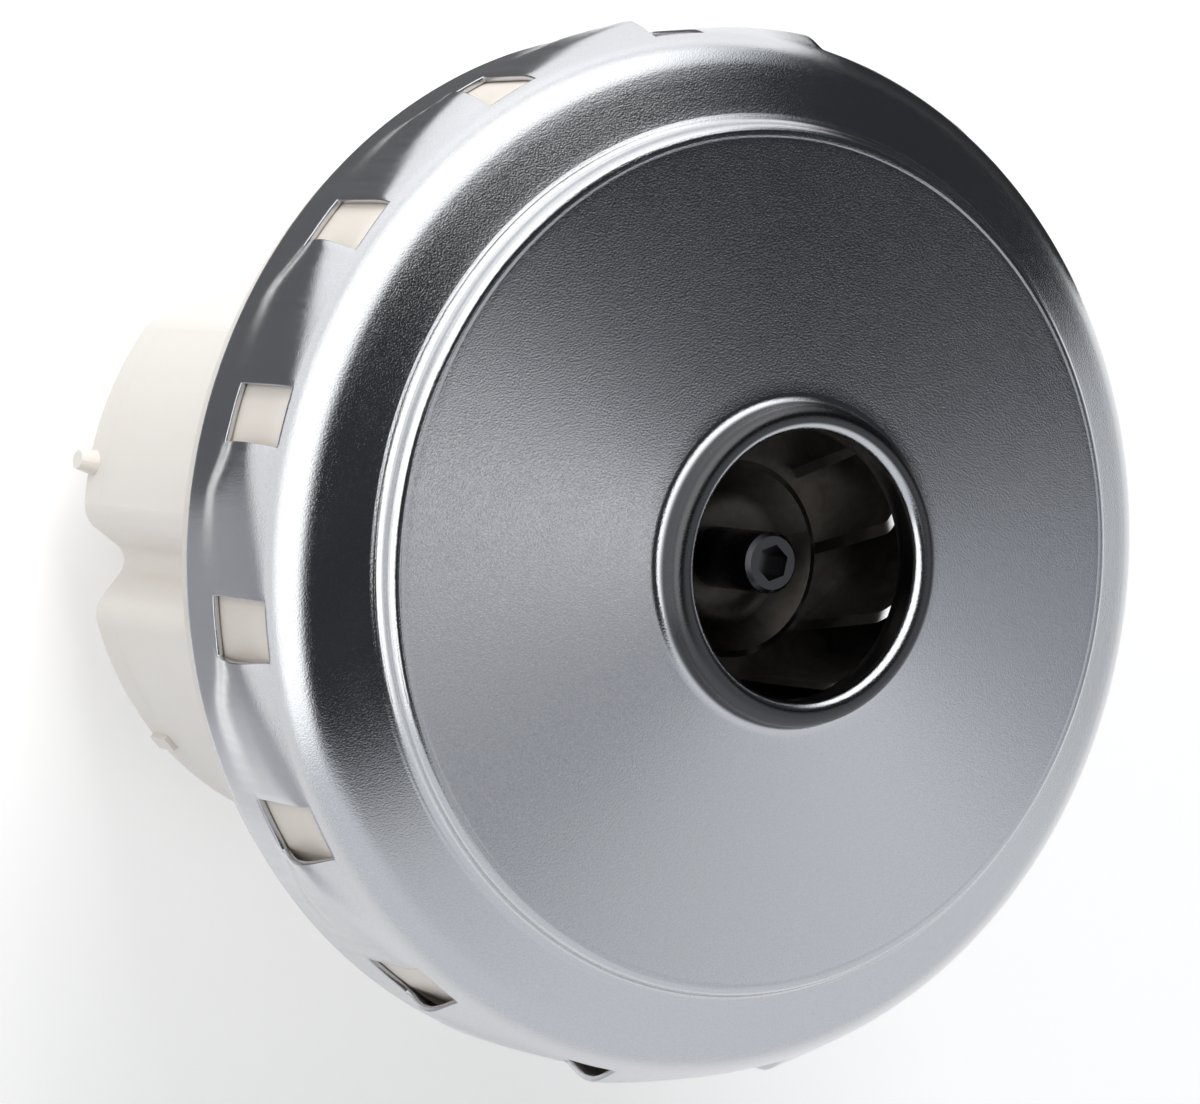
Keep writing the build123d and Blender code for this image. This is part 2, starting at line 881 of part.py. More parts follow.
brush_start = commutator_radius + brush_touch_gap
sleeve_end = body_radius - sleeve_end_room
carrier_end = body_radius - carrier_end_room
brush_length = (sleeve_end - brush_start) * brush_share_of_sleeve
brush_high = brush_low + brush_height
sleeve_inner_y = brush_width / 2 + brush_gap
sleeve_outer_y = sleeve_inner_y + sleeve_sheet
sleeve_inner_low = brush_low - brush_gap
sleeve_inner_high = brush_high + brush_gap


def make_brush_sleeve():
    """the folded brass tube that guides the brush, closed at its outer end"""
    tube = block(
        (sleeve_start, sleeve_end),
        (-sleeve_outer_y, sleeve_outer_y),
        (sleeve_inner_low - sleeve_sheet, sleeve_inner_high + sleeve_sheet),
    )
    inside = block(
        (sleeve_start - overrun, sleeve_end - sleeve_sheet),
        (-sleeve_inner_y, sleeve_inner_y),
        (sleeve_inner_low, sleeve_inner_high),
    )
    return tube - inside


def make_brush():
    """the carbon brush, its face hollowed to the commutator"""
    carbon = block(
        (brush_start - overrun, brush_start + brush_length),
        (-brush_width / 2, brush_width / 2),
        (brush_low, brush_high),
    )
    carbon -= disc(brush_start, brush_low - overrun, brush_high + overrun)
    back = carbon.faces().sort_by(Axis.X)[-1].edges()
    return chamfer(back, brush_bevel)


def make_brush_spring():
    """a compression spring between the brush and the closed end of its sleeve"""
    start = brush_start + brush_length + spring_wire
    end = sleeve_end - sleeve_sheet - spring_wire
    middle = (brush_low + brush_high) / 2
    steps = spring_arcs * spring_turns
    pitch = (end - start) / spring_turns

    def place(step):
        angle = math.radians(step * full_turn / spring_arcs)
        reach = start + pitch * step / spring_arcs
        return Vector(reach, spring_radius * math.cos(angle), middle + spring_radius * math.sin(angle))

    def heading(step):
        angle = math.radians(step * full_turn / spring_arcs)
        per_radian = pitch / math.radians(full_turn)
        return Vector(per_radian, -spring_radius * math.sin(angle), spring_radius * math.cos(angle))

    arcs = []
    for step in range(steps):
        arcs += biarc(place(step), heading(step), place(step + 1), heading(step + 1))
    path = Wire(arcs)
    profile = Plane(origin=place(0), z_dir=heading(0)) * Circle(spring_wire / 2)
    return sweep(profile, path=path)


def biarc(start, start_way, end, end_way):
    """two arcs that meet smoothly and leave and arrive along the given ways"""
    first = start_way.normalized()
    last = end_way.normalized()
    chord = end - start
    both = first + last
    a = 2 * (1 - first.dot(last))
    b = 2 * chord.dot(both)
    c = -chord.dot(chord)
    reach = (-b + math.sqrt(b * b - 4 * a * c)) / (2 * a) if abs(a) > least else -c / b
    knee_one = start + first * reach
    knee_two = end - last * reach
    joint = (knee_one + knee_two) * 0.5
    way = (knee_two - knee_one).normalized()
    return [
        Edge.make_tangent_arc(start, first, joint),
        Edge.make_tangent_arc(joint, way, end),
    ]


def make_brush_carrier():
    """the plastic cradle that clamps the sleeve to the rear bracket"""
    tube_low = sleeve_inner_low - sleeve_sheet - seat_gap / 2
    cradle = block(
        (carrier_start, carrier_end),
        (-carrier_half, carrier_half),
        (bracket_high, tube_low + carrier_cheek),
    )
    half = sleeve_outer_y + seat_gap / 2
    cradle -= block(
        (carrier_start - overrun, carrier_end + overrun),
        (-half, half),
        (tube_low, tube_low + 2 * carrier_cheek),
    )
    for side in (-1, 1):
        y = side * carrier_screw_y
        ear = rod(carrier_ear_radius, carrier_screw_x, y, bracket_high, bracket_high + carrier_foot)
        ear += block(
            (carrier_screw_x - carrier_ear_radius, carrier_screw_x + carrier_ear_radius),
            sorted((y, side * half)),
            (bracket_high, bracket_high + carrier_foot),
        )
        cradle += ear
    for side in (-1, 1):
        hole = rod(
            carrier_screw_radius + seat_gap / 2,
            carrier_screw_x,
            side * carrier_screw_y,
            bracket_high - overrun,
            bracket_high + carrier_foot + overrun,
        )
        cradle -= hole
    return cradle


def make_carrier_screws():
    """four small screws down through the carriers' ears into the bracket"""
    made = []
    seat = bracket_high + carrier_foot
    for x, y in carrier_places:
        head = rod(carrier_head_radius, x, y, seat, seat + carrier_head_height)
        head = chamfer(head.faces().sort_by(Axis.Z)[-1].edges(), carrier_head_height * head_chamfer_share)
        made.append(head + rod(carrier_screw_radius - press_gap, x, y, bracket_low, seat))
    return group(made)


def flipped(shape):
    """the same piece on the other side of the axis"""
    return Rot(0, 0, half_turn) * shape


# Terminal block and tabs

terminal_inner = body_flat - terminal_inside
terminal_outer = body_flat + terminal_outside


def terminal_box(grow):
    """the straight body of the terminal block"""
    half = terminal_width / 2 + grow
    return block(
        (-half, half),
        (-terminal_outer, -terminal_inner),
        (terminal_low - grow, terminal_low + terminal_height + grow),
    )


def make_terminal_block():
    """the insulating block through the flat wall, with a flange on its outside"""
    half = terminal_width / 2 + terminal_flange
    flange = block(
        (-half, half),
        (-body_flat - terminal_flange, -body_flat),
        (terminal_low - terminal_flange, terminal_low + terminal_height + terminal_flange),
    )
    body = terminal_box(0.0) + flange
    for side in (-1, 1):
        body -= tab_bar(side, press_gap)
    return body


def tab_bar(side, grow):
    """the flat bar of one tab, standing on edge beside the block's middle"""
    x = side * tab_offset
    half = tab_width / 2
    middle = terminal_low + terminal_height / 2
    return block(
        (x - tab_thickness / 2 - grow, x + tab_thickness / 2 + grow),
        (-terminal_outer - tab_reach, -terminal_inner + tab_tail),
        (middle - half - grow, middle + half + grow),
    )


def make_terminal_tabs():
    """two flat blades with a latch hole"""
    made = []
    middle = terminal_low + terminal_height / 2
    for side in (-1, 1):
        x = side * tab_offset
        hole_plane = Plane(
            origin=(x - tab_thickness, -terminal_outer - tab_reach / 2, middle),
            x_dir=(0, 1, 0),
            z_dir=(1, 0, 0),
        )
        hole = extrude(hole_plane * Circle(tab_hole), 2 * tab_thickness)
        bar = tab_bar(side, 0.0)
        ends = bar.edges().filter_by(Axis.X).group_by(Axis.Y)[0]
        made.append(chamfer(ends, tab_width * tab_chamfer_share) - hole)
    return group(made)


# Cooling fan

fan_radius = cap_radius - housing_wall - fan_gap


def make_cooling_fan():
    """the small radial fan that pulls cooling air through the motor"""
    plate_high = fan_plate_low + fan_plate
    fan = disc(fan_radius, fan_plate_low, plate_high)
    fan += disc(fan_hub_radius, fan_blade_low, plate_high)
    fan += disc(fan_neck_radius, fan_plate_low, rear_bearing_low - press_gap)
    middle_radius = (fan_blade_inner + fan_radius) / 2
    path = ThreePointArc(
        polar(fan_blade_inner, 0.0),
        polar(middle_radius, fan_blade_sweep * fan_blade_middle_share),
        polar(fan_radius - fan_blade_thickness / 2, fan_blade_sweep),
    )
    blade = extrude(
        Plane.XY.offset(fan_blade_low) * trace(path, fan_blade_thickness),
        fan_plate_low - fan_blade_low + fan_plate / 2,
    )
    fan += around(blade, fan_blade_count)
    limit = disc(fan_radius, 0.0, housing_low)
    fan = fan & limit
    return fan - disc(rear_journal_radius + press_gap, 0.0, housing_low)


# Guide plate

guide_wall_radius = skirt_radius - guide_channel
guide_vane_mid_radius = skirt_radius - guide_vane_mid_inset
impeller_radius = guide_wall_radius - impeller_gap
deck_top = skirt_base + deck_rise
deck_low = deck_top - deck_thickness
guide_low = flange_top
guide_base_top = guide_low + guide_plate_thickness


def make_guide_plate():
    """the moulding that leads the air from the impeller to the windows"""
    inset = sheet + flange_gap
    tip = skirt_radius - inset
    root = guide_wall_radius - guide_wall / 2
    plate = ring(tip, guide_wall_radius - guide_wall, guide_low, guide_base_top)
    plate += ring(guide_wall_radius, guide_wall_radius - guide_wall, guide_low, deck_top)
    plate += ring(guide_wall_radius, guide_hub_bore, deck_low, deck_top)
    hub_outer = guide_hub_bore + guide_hub_wall
    hub_low = deck_top - seal_height - seal_ledge - seat_gap
    plate += ring(hub_outer, guide_hub_bore, hub_low, deck_top)
    plate += ring(hub_outer, seal_bore + seal_lip, deck_top - seal_ledge, deck_top)
    rib = block(
        (hub_outer - overrun / 2, guide_wall_radius - guide_wall / 2),
        (-guide_rib / 2, guide_rib / 2),
        (hub_low, deck_low + deck_thickness / 2),
    )
    plate += around(rib, guide_rib_count, half_turn / guide_rib_count)
    start = window_start - guide_vane_lead
    path = ThreePointArc(
        polar(tip, start),
        polar(guide_vane_mid_radius, start + guide_vane_mid_turn),
        polar(root, start + guide_vane_turn),
    )
    top = skirt_base + guide_vane_top_rise
    base = guide_base_top - guide_plate_thickness / 2
    vane = extrude(Plane.XY.offset(base) * trace(path, guide_vane), top - base)
    space = FilletPolyline(
        (root, base),
        (tip, base),
        (tip, annulus_height(tip, inset)),
        (root, annulus_height(root, inset)),
        radius=[0, shoulder_radius - inset],
    )
    space = make_face(space.edges() + [Line(space @ 1, space @ 0)])
    room = revolve(Plane.XZ * space, Axis.Z)
    return plate + around(vane & room, window_count)


seal_bore = shaft_radius + sleeve_wall
spacer_low = front_bearing_high
spacer_high = nose_start


def make_spacer_sleeve():
    """the sleeve between the front bearing and the impeller's rear washer"""
    return ring(shaft_radius + sleeve_wall, shaft_radius + press_gap, spacer_low, spacer_high)


def make_shaft_seal():
    """the felt ring that keeps suction air out of the motor"""
    high = deck_top - seal_ledge
    return ring(guide_hub_bore - press_gap, seal_bore + seat_gap, high - seal_height, high)


# Impeller

def shroud_line():
    """the under face of the front shroud in section, from the rim to the eye"""
    return FilletPolyline(
        (impeller_radius, skirt_base + rim_rise),
        (eye_radius, skirt_base + eye_foot_rise),
        (eye_radius, skirt_base + eye_top_rise),
        radius=[eye_round],
    )


def shroud_height(radius):
    """height of the shroud's under face at a radius of its cone"""
    share = (impeller_radius - radius) / (impeller_radius - eye_radius)
    return skirt_base + rim_rise + share * (eye_foot_rise - rim_rise)


def make_impeller_shroud():
    """the front cone of the impeller, open at the eye"""
    section = make_face(offset(shroud_line(), amount=shroud_sheet, side=Side.RIGHT).edges())
    return revolve(Plane.XZ * section, Axis.Z)


def make_impeller_disc():
    """the flat back disc of the impeller"""
    return ring(impeller_radius, nose_radius + press_gap, disc_low, disc_top)


def vane_side(side):
    """a long side of a vane in plan: arcs along a spiral with a constant vane angle"""
    low = vane_foot_radius - overrun
    high = impeller_radius + overrun
    points = []
    for k in range(2 * vane_arcs + 1):
        radius = low * (high / low) ** (k / (2 * vane_arcs))
        turn = math.log(radius / vane_foot_radius) / math.tan(math.radians(vane_angle))
        half = vane_sheet / 2 / (radius * math.sin(math.radians(vane_angle)))
        points.append(polar(radius, math.degrees(turn + side * half)))
    return [ThreePointArc(*points[2 * k : 2 * k + 3]) for k in range(vane_arcs)]


def make_impeller_vanes():
    """curved vanes between the disc and the shroud, sweeping back from the eye"""
    sides = [vane_side(-1), vane_side(1)]
    ends = [Line(sides[0][0] @ 0, sides[1][0] @ 0), Line(sides[0][-1] @ 1, sides[1][-1] @ 1)]
    outline = make_face([*sides[0], *sides[1], *ends])
    blade = extrude(Plane.XY.offset(disc_top) * outline, skirt_base + eye_top_rise - disc_top)
    corner = FilletPolyline(
        (vane_foot_radius, disc_top),
        (vane_corner_radius, shroud_height(vane_corner_radius)),
        (vane_top_radius, shroud_height(vane_top_radius)),
        radius=[vane_corner_round],
    )
    rest = Polyline(
        (vane_top_radius, shroud_height(vane_top_radius)),
        (impeller_radius, skirt_base + rim_rise),
        (impeller_radius, disc_top),
        (vane_foot_radius, disc_top),
    )
    room = revolve(Plane.XZ * make_face(corner.edges() + rest.edges()), Axis.Z)
    return group(around(blade & room, vane_count, vane_first_angle))


def make_clamp_dish():
    """the dished washer under the nut, its rim standing forward"""
    bore = nose_radius + press_gap
    floor = disc_top + dish_floor
    rim = disc_top + dish_rim_rise
    inside = FilletPolyline(
        (bore, floor),
        (dish_floor_radius, floor),
        (dish_rim_radius - dish_rim, rim),
        radius=[dish_round],
    )
    outside = Polyline(
        (dish_rim_radius - dish_rim, rim),
        (dish_rim_radius, rim - dish_rim / 2),
        (dish_foot_radius, disc_top),
        (bore, disc_top),
        (bore, floor),
    )
    return revolve(Plane.XZ * make_face(inside.edges() + outside.edges()), Axis.Z)


def make_impeller_nut():
    """the round sleeve nut on the shaft's nose, with a hexagon socket in its end"""
    low = disc_top + dish_floor
    nut = disc(nut_radius, low, nut_top)
    nut = chamfer(nut.faces().sort_by(Axis.Z)[-1].edges(), nut_chamfer)
    socket = RegularPolygon(nut_socket_flats / 2, nut_socket_sides, major_radius=False)
    nut -= extrude(Plane.XY.offset(nut_top - nut_socket_depth) * socket, nut_socket_depth + overrun)
    return nut - disc(nose_radius + press_gap, low - overrun, shaft_top + press_gap)


# Bearing hardware

def make_wave_washer():
    """the spring ring that preloads the front bearing"""
    inner = front_bearing_radius - wave_wire - seat_gap
    return ring(inner + wave_wire, inner, front_bearing_high, front_bearing_high + wave_height)


def make_damper(outside, inside, low, high):
    """the rubber ring between a bearing and its cup"""
    return ring(outside - press_gap, inside + press_gap, low, high)


def make_bearing_retainer():
    """the sheet plate over the front bearing"""
    plate = ring(retainer_radius, retainer_bore, retainer_low, retainer_low + retainer_thickness)
    low = retainer_low - overrun
    high = retainer_low + retainer_thickness + overrun
    holes = [rod(retainer_screw_radius + seat_gap / 2, x, y, low, high) for x, y in retainer_places]
    return plate - holes


def make_retainer_screws():
    """three screws down through the retainer into the housing's bosses"""
    made = []
    seat = retainer_low + retainer_thickness
    for x, y in retainer_places:
        head = rod(carrier_head_radius, x, y, seat, seat + carrier_head_height)
        head = chamfer(head.faces().sort_by(Axis.Z)[-1].edges(), carrier_head_height * head_chamfer_share)
        low = retainer_low - retainer_screw_length + overrun
        made.append(head + rod(retainer_screw_radius - press_gap, x, y, low, seat))
    return group(made)


def make_cover_screws():
    """four screws up through the cover's recesses"""
    seat = shoulder_low + head_sink
    length = bracket_low + cover_screw_length - overrun - seat
    radius = cover_screw_radius - press_gap
    return group([screw(radius, length, x, y, seat) for x, y in screw_places])


def make_stator_screws():
    """four long screws through the corners of the stack into the housing's ribs"""
    seat = stack_low - end_plate
    length = stator_screw_length - overrun
    radius = stator_screw_radius - press_gap
    return group([screw(radius, length, x, y, seat) for x, y in stator_places])


front = bearing(shaft_radius, front_bearing_radius, front_bearing_width, front_bearing_low)
rear = bearing(rear_journal_radius, rear_bearing_radius, rear_bearing_width, rear_bearing_low)
field_coil = make_field_coil()
brush_sleeve = make_brush_sleeve()
brush = make_brush()
brush_spring = make_brush_spring()
brush_carrier = make_brush_carrier()

nodes = {
    "fan_shell": make_fan_shell(),
    "guide_plate": make_guide_plate(),
    "motor_housing": make_motor_housing(),
    "rear_cover": make_rear_cover(),
    "rear_bracket": make_rear_bracket(),
    "stator_core": make_stator_core(),
    "end_insulation": make_end_insulation(),
    "field_coil_right": field_coil,
    "field_coil_left": flipped(field_coil),
    "stator_screws": make_stator_screws(),
    "cover_screws": make_cover_screws(),
    "wave_washer": make_wave_washer(),
    "bearing_retainer": make_bearing_retainer(),
    "retainer_screws": make_retainer_screws(),
    "shaft_seal": make_shaft_seal(),
    "shaft": make_shaft(),
    "armature_core": make_armature_core(),
    "armature_winding": make_armature_winding(),
    "commutator_core": make_commutator_core(),
    "commutator_bars": make_commutator_bars(),
    "spacer_sleeve": make_spacer_sleeve(),
    "cooling_fan": make_cooling_fan(),
    "rear_washer": ring(rear_washer_radius, nose_radius + press_gap, nose_start, disc_low),
    "impeller_disc": make_impeller_disc(),
    "impeller_vanes": make_impeller_vanes(),
    "impeller_shroud": make_impeller_shroud(),
    "clamp_dish": make_clamp_dish(),
    "impeller_nut": make_impeller_nut(),
    "terminal_block": make_terminal_block(),
    "terminal_tabs": make_terminal_tabs(),
    "carrier_screws": make_carrier_screws(),
    "brush_sleeve_right": brush_sleeve,
    "brush_sleeve_left": flipped(brush_sleeve),
    "brush_right": brush,
    "brush_left": flipped(brush),
    "brush_spring_right": brush_spring,
    "brush_spring_left": flipped(brush_spring),
    "brush_carrier_right": brush_carrier,
    "brush_carrier_left": flipped(brush_carrier),
    "front_damper": make_damper(
        front_cup_inner, front_bearing_radius, front_bearing_low, front_bearing_high
    ),
    "rear_damper": make_damper(
        rear_cup_inner, rear_bearing_radius, rear_bearing_low, rear_bearing_high
    ),
}
for name, shape in front.items():
    nodes[f"front_bearing_{name}"] = shape
for name, shape in rear.items():
    nodes[f"rear_bearing_{name}"] = shape

for name, shape in nodes.items():
    export_step(shape, f"parts/{name}.step")
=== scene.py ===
# %% [markdown]
# # A vacuum motor unit, from solids to a portrait
# The unit is a drum of drawn steel with a round air inlet in its conical face, and a cream
# moulding behind it that holds the motor. The solids come from an imported CAD model and stay
# where they are. This lesson builds the studio, the camera and the finishes. It makes anew the
# three pieces that plain solids can't give: the louvred steel shell with its soft pressed
# forms, and the two brush springs, which in the real unit shorten while their brushes move,
# as coils of wire.

# %% Load the imported model
import json
import math

import bpy
from mathutils import Matrix, Vector


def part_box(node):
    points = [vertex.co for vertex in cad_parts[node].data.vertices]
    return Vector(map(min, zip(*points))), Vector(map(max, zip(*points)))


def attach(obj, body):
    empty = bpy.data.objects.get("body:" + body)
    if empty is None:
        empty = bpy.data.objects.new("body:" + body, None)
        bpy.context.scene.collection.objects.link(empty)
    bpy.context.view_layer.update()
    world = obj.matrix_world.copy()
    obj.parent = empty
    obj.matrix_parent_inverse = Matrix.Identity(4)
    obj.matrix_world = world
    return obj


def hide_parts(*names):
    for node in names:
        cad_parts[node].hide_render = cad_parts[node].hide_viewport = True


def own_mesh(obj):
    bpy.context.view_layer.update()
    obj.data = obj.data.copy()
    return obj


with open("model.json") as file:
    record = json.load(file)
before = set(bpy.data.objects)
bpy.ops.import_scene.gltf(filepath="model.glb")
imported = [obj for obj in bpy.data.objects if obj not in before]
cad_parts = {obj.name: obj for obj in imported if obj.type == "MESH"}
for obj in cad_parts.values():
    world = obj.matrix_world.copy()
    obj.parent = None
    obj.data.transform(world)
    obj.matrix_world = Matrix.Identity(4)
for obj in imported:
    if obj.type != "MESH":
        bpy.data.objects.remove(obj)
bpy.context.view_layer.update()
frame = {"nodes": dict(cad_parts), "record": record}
MM = 0.001
nodes = frame["nodes"]

# %% [markdown]
# ## The camera
# The photograph was taken from 600 mm with a long lens. The shaft leans 33 degrees out of the
# line of sight and the unit lies rolled about its own axis. A camera could be aimed by hand
# with a constraint, but these angles are known from the picture's perspective. So the cell
# works in the camera's own axes (x right, y down, z ahead) and turns the result over, which
# gives the camera's matrix in the model's frame.

# %% Camera
PICTURE = (1200, 1104)
FOCAL_PIXELS = 4693.0
SENSOR_MM = 36.0
SHAFT_LEAN = math.radians(33.45)
SHAFT_TURN = math.radians(6.4)
BODY_ROLL = math.radians(72.0)
SKIRT_EDGE = Vector((0.0, 0.0, 80.5)) * MM
SKIRT_IN_VIEW = Vector((4.97, -0.47, 600.0)) * MM


def model_axes_in_view():
    """the model's X, Y and Z as the camera sees them"""
    shaft = Vector((
        math.sin(SHAFT_LEAN) * math.cos(SHAFT_TURN),
        math.sin(SHAFT_LEAN) * math.sin(SHAFT_TURN),
        -math.cos(SHAFT_LEAN),
    ))
    up = Vector((0.0, -1.0, 0.0))
    rise = (up - shaft * up.dot(shaft)).normalized()
    side = shaft.cross(rise)
    x = rise * math.cos(BODY_ROLL) - side * math.sin(BODY_ROLL)
    y = rise * math.sin(BODY_ROLL) + side * math.cos(BODY_ROLL)
    return x, y, shaft


view_x, view_y, view_z = model_axes_in_view()
right = Vector((view_x.x, view_y.x, view_z.x))
down = Vector((view_x.y, view_y.y, view_z.y))
ahead = Vector((view_x.z, view_y.z, view_z.z))
from_origin = Vector((view_x.dot(SKIRT_IN_VIEW), view_y.dot(SKIRT_IN_VIEW), view_z.dot(SKIRT_IN_VIEW)))
camera_place = SKIRT_EDGE - from_origin
camera_data = bpy.data.cameras.new("portrait_camera")
camera_data.sensor_width = SENSOR_MM
camera_data.lens = FOCAL_PIXELS / PICTURE[0] * SENSOR_MM
camera = bpy.data.objects.new("portrait_camera", camera_data)
camera.matrix_world = Matrix((
    (right.x, -down.x, -ahead.x, camera_place.x),
    (right.y, -down.y, -ahead.y, camera_place.y),
    (right.z, -down.z, -ahead.z, camera_place.z),
    (0.0, 0.0, 0.0, 1.0),
))
bpy.context.scene.collection.objects.link(camera)
bpy.context.scene.camera = camera
bpy.context.scene.view_settings.view_transform = "Standard"
print("lens", round(camera_data.lens, 1), "mm, camera at", [round(v, 3) for v in camera_place])

# %% [markdown]
# ## Small helpers for shader nodes
# The room and every finish are networks of nodes. They could be drawn by hand in the shader
# editor. In a script a few short helpers keep them readable: one adds a node and sets its
# fields, one sets or joins a socket, and the others wrap the nodes that come up most often.

# %% Node helpers
def add(tree, kind, **settings):
    """one shader node with its fields set"""
    node = tree.nodes.new(kind)
    for name, value in settings.items():
        setattr(node, name, value)
    return node


def put(socket, value):
    """set a socket to a value, or feed it from another socket"""
    if isinstance(value, bpy.types.NodeSocket):
        socket.id_data.links.new(value, socket)
    else:
        socket.default_value = value


def maths(tree, operation, *values):
    """a Math node on values or sockets"""
    node = add(tree, "ShaderNodeMath", operation=operation)
    for socket, value in zip(node.inputs, values):
        put(socket, value)
    return node.outputs[0]


def spread(tree, value, low, high, to_low=0.0, to_high=1.0, smooth=False):
    """a value mapped from one range to another, held at its ends"""
    node = add(tree, "ShaderNodeMapRange", interpolation_type="SMOOTHSTEP" if smooth else "LINEAR")
    for socket, number in zip(node.inputs, (value, low, high, to_low, to_high)):
        put(socket, number)
    return node.outputs["Result"]


def blend_colours(tree, share, first, second):
    """a colour between two others"""
    node = add(tree, "ShaderNodeMix", data_type="RGBA")
    put(node.inputs["Factor"], share)
    put(node.inputs["A"], first)
    put(node.inputs["B"], second)
    return node.outputs["Result"]


print("helpers:", [helper.__name__ for helper in (add, put, maths, spread, blend_colours)])

# %% [markdown]
# ## The studio
# The steel shows the room more than it shows itself. Read back from the photograph, the room
# is pale grey and a little darker overhead. A black band runs round it like a wide arc, a
# bright wall stands below the band on one side, and there are a ceiling lamp and a few dimmer
# spots. Panels on stands could build this room. The world's shader paints it by direction
# instead, which needs no panels and keeps the same room whatever piece reflects it. Two kinds
# of mask are enough: a band round a pole, and a patch given by azimuth and elevation.

# %% Masks by direction
world = bpy.data.worlds.new("studio_room")
bpy.context.scene.world = world
world.use_nodes = True
sky = world.node_tree
sky.nodes.clear()
way = add(sky, "ShaderNodeTexCoord").outputs["Generated"]


def along(axis):
    """how far the looked-at direction points along an axis"""
    node = add(sky, "ShaderNodeVectorMath", operation="DOT_PRODUCT")
    put(node.inputs[0], way)
    put(node.inputs[1], axis)
    return node.outputs["Value"]


def between(value, low, high, soft):
    """1 between two limits and 0 outside, with soft edges"""
    rising = spread(sky, value, low - soft, low + soft, smooth=True)
    falling = spread(sky, value, high - soft, high + soft, 1.0, 0.0, smooth=True)
    return maths(sky, "MULTIPLY", rising, falling)


def direction_patch(azimuth, elevation, half_width, half_height, edge):
    """a soft-edged patch of the room, 1 inside and 0 outside, all in degrees"""
    turned = add(sky, "ShaderNodeVectorRotate", rotation_type="Z_AXIS")
    put(turned.inputs["Vector"], way)
    put(turned.inputs["Angle"], -math.radians(azimuth))
    parts = add(sky, "ShaderNodeSeparateXYZ")
    put(parts.inputs[0], turned.outputs[0])
    bearing = maths(sky, "ARCTAN2", parts.outputs[1], parts.outputs[0])
    height = maths(sky, "ARCSINE", parts.outputs[2])
    wide, tall, soft = (math.radians(v) for v in (half_width, half_height, edge))
    up = math.radians(elevation)
    return maths(sky, "MULTIPLY", between(bearing, -wide, wide, soft),
                 between(height, up - tall, up + tall, soft))


print("masks in", world.name)

# %% [markdown]
# The colours are laid over each other from the back to the front: the grey of the walls and
# the ceiling, the dim spots, the bright wall, the black band with the gap beside it, and the
# ceiling lamp. Reflections see the bright wall at its full strength, and soft light sees it
# at a plain level, so that the metal sparkles and the plastic isn't washed out.

# %% World
LOW_GREY = (0.74, 0.76, 0.79, 1.0)
HIGH_GREY = (0.52, 0.53, 0.55, 1.0)
DIM_GREY = (0.28, 0.29, 0.32, 1.0)
LIGHT_WALL = (1.65, 1.66, 1.66, 1.0)
SOFT_WALL = (0.95, 0.95, 0.94, 1.0)
BLACK_BAND = (0.035, 0.036, 0.040, 1.0)
GREY_FADE = (0.60, 0.93)
UP = (0.0, 0.0, 1.0)
BAND_POLE = (0.326, -0.517, 0.792)
BAND_FAR, BAND_NEAR, BAND_EDGE = 0.31, 0.83, 0.025
BAND_SIDE, BAND_END = (0.0, 1.0, 0.35), (-0.15, -0.05)
# each patch: azimuth, elevation, half width, half height and soft edge, in degrees
PATCHES = {
    "light wall": (120.0, 12.0, 76.0, 42.0, 4.0),
    "black gap": (16.0, 0.0, 19.0, 50.0, 3.0),
    "ceiling lamp": (-6.0, 77.0, 14.0, 2.5, 2.5),
    "dim low": (-20.0, 20.0, 13.0, 17.0, 7.0),
    "dim high": (-62.0, 67.0, 20.0, 4.0, 5.0),
}

patch = {name: direction_patch(*sizes) for name, sizes in PATCHES.items()}
band = between(along(BAND_POLE), BAND_FAR, BAND_NEAR, BAND_EDGE)
band = maths(sky, "MULTIPLY", band, spread(sky, along(BAND_SIDE), *BAND_END, smooth=True))
black = maths(sky, "MAXIMUM", band, patch["black gap"])
dim = maths(sky, "MAXIMUM", patch["dim low"], patch["dim high"])
seen_in_metal = add(sky, "ShaderNodeLightPath").outputs["Is Glossy Ray"]
wall = blend_colours(sky, seen_in_metal, SOFT_WALL, LIGHT_WALL)
room = blend_colours(sky, spread(sky, along(UP), *GREY_FADE), LOW_GREY, HIGH_GREY)
room = blend_colours(sky, dim, room, DIM_GREY)
room = blend_colours(sky, patch["light wall"], room, wall)
room = blend_colours(sky, black, room, BLACK_BAND)
room = blend_colours(sky, patch["ceiling lamp"], room, LIGHT_WALL)
background = add(sky, "ShaderNodeBackground")
put(background.inputs["Color"], room)
put(background.inputs["Strength"], 1.0)
sky_out = add(sky, "ShaderNodeOutputWorld")
sky.links.new(background.outputs[0], sky_out.inputs["Surface"])
print("world: grey room, black band and", len(patch), "patches")

# %% [markdown]
# The floor has to come out white in the picture and still keep a shadow. A shadow catcher
# would need compositing afterwards, and a glowing floor would have no shadow. So its surface
# is plain pale paint, and a little light of its own, which only the camera and reflections
# see, lifts it to white where the room lights it fully.

# %% Floor
FLOOR_HALF = 6.0
FLOOR_DROP = 0.0004
PAPER, WHITE = (0.86, 0.86, 0.86, 1.0), (1.0, 1.0, 1.0, 1.0)
PAPER_ROUGHNESS, PAPER_SHEEN, PAPER_GLOW = 0.9, 0.2, 0.34
floor_mesh = bpy.data.meshes.new("studio_floor")
floor_mesh.from_pydata(
    [(-FLOOR_HALF, -FLOOR_HALF, 0), (FLOOR_HALF, -FLOOR_HALF, 0),
     (FLOOR_HALF, FLOOR_HALF, 0), (-FLOOR_HALF, FLOOR_HALF, 0)],
    [], [(0, 1, 2, 3)],
)
floor = bpy.data.objects.new("studio_floor", floor_mesh)
floor.location.z = -FLOOR_DROP
bpy.context.scene.collection.objects.link(floor)

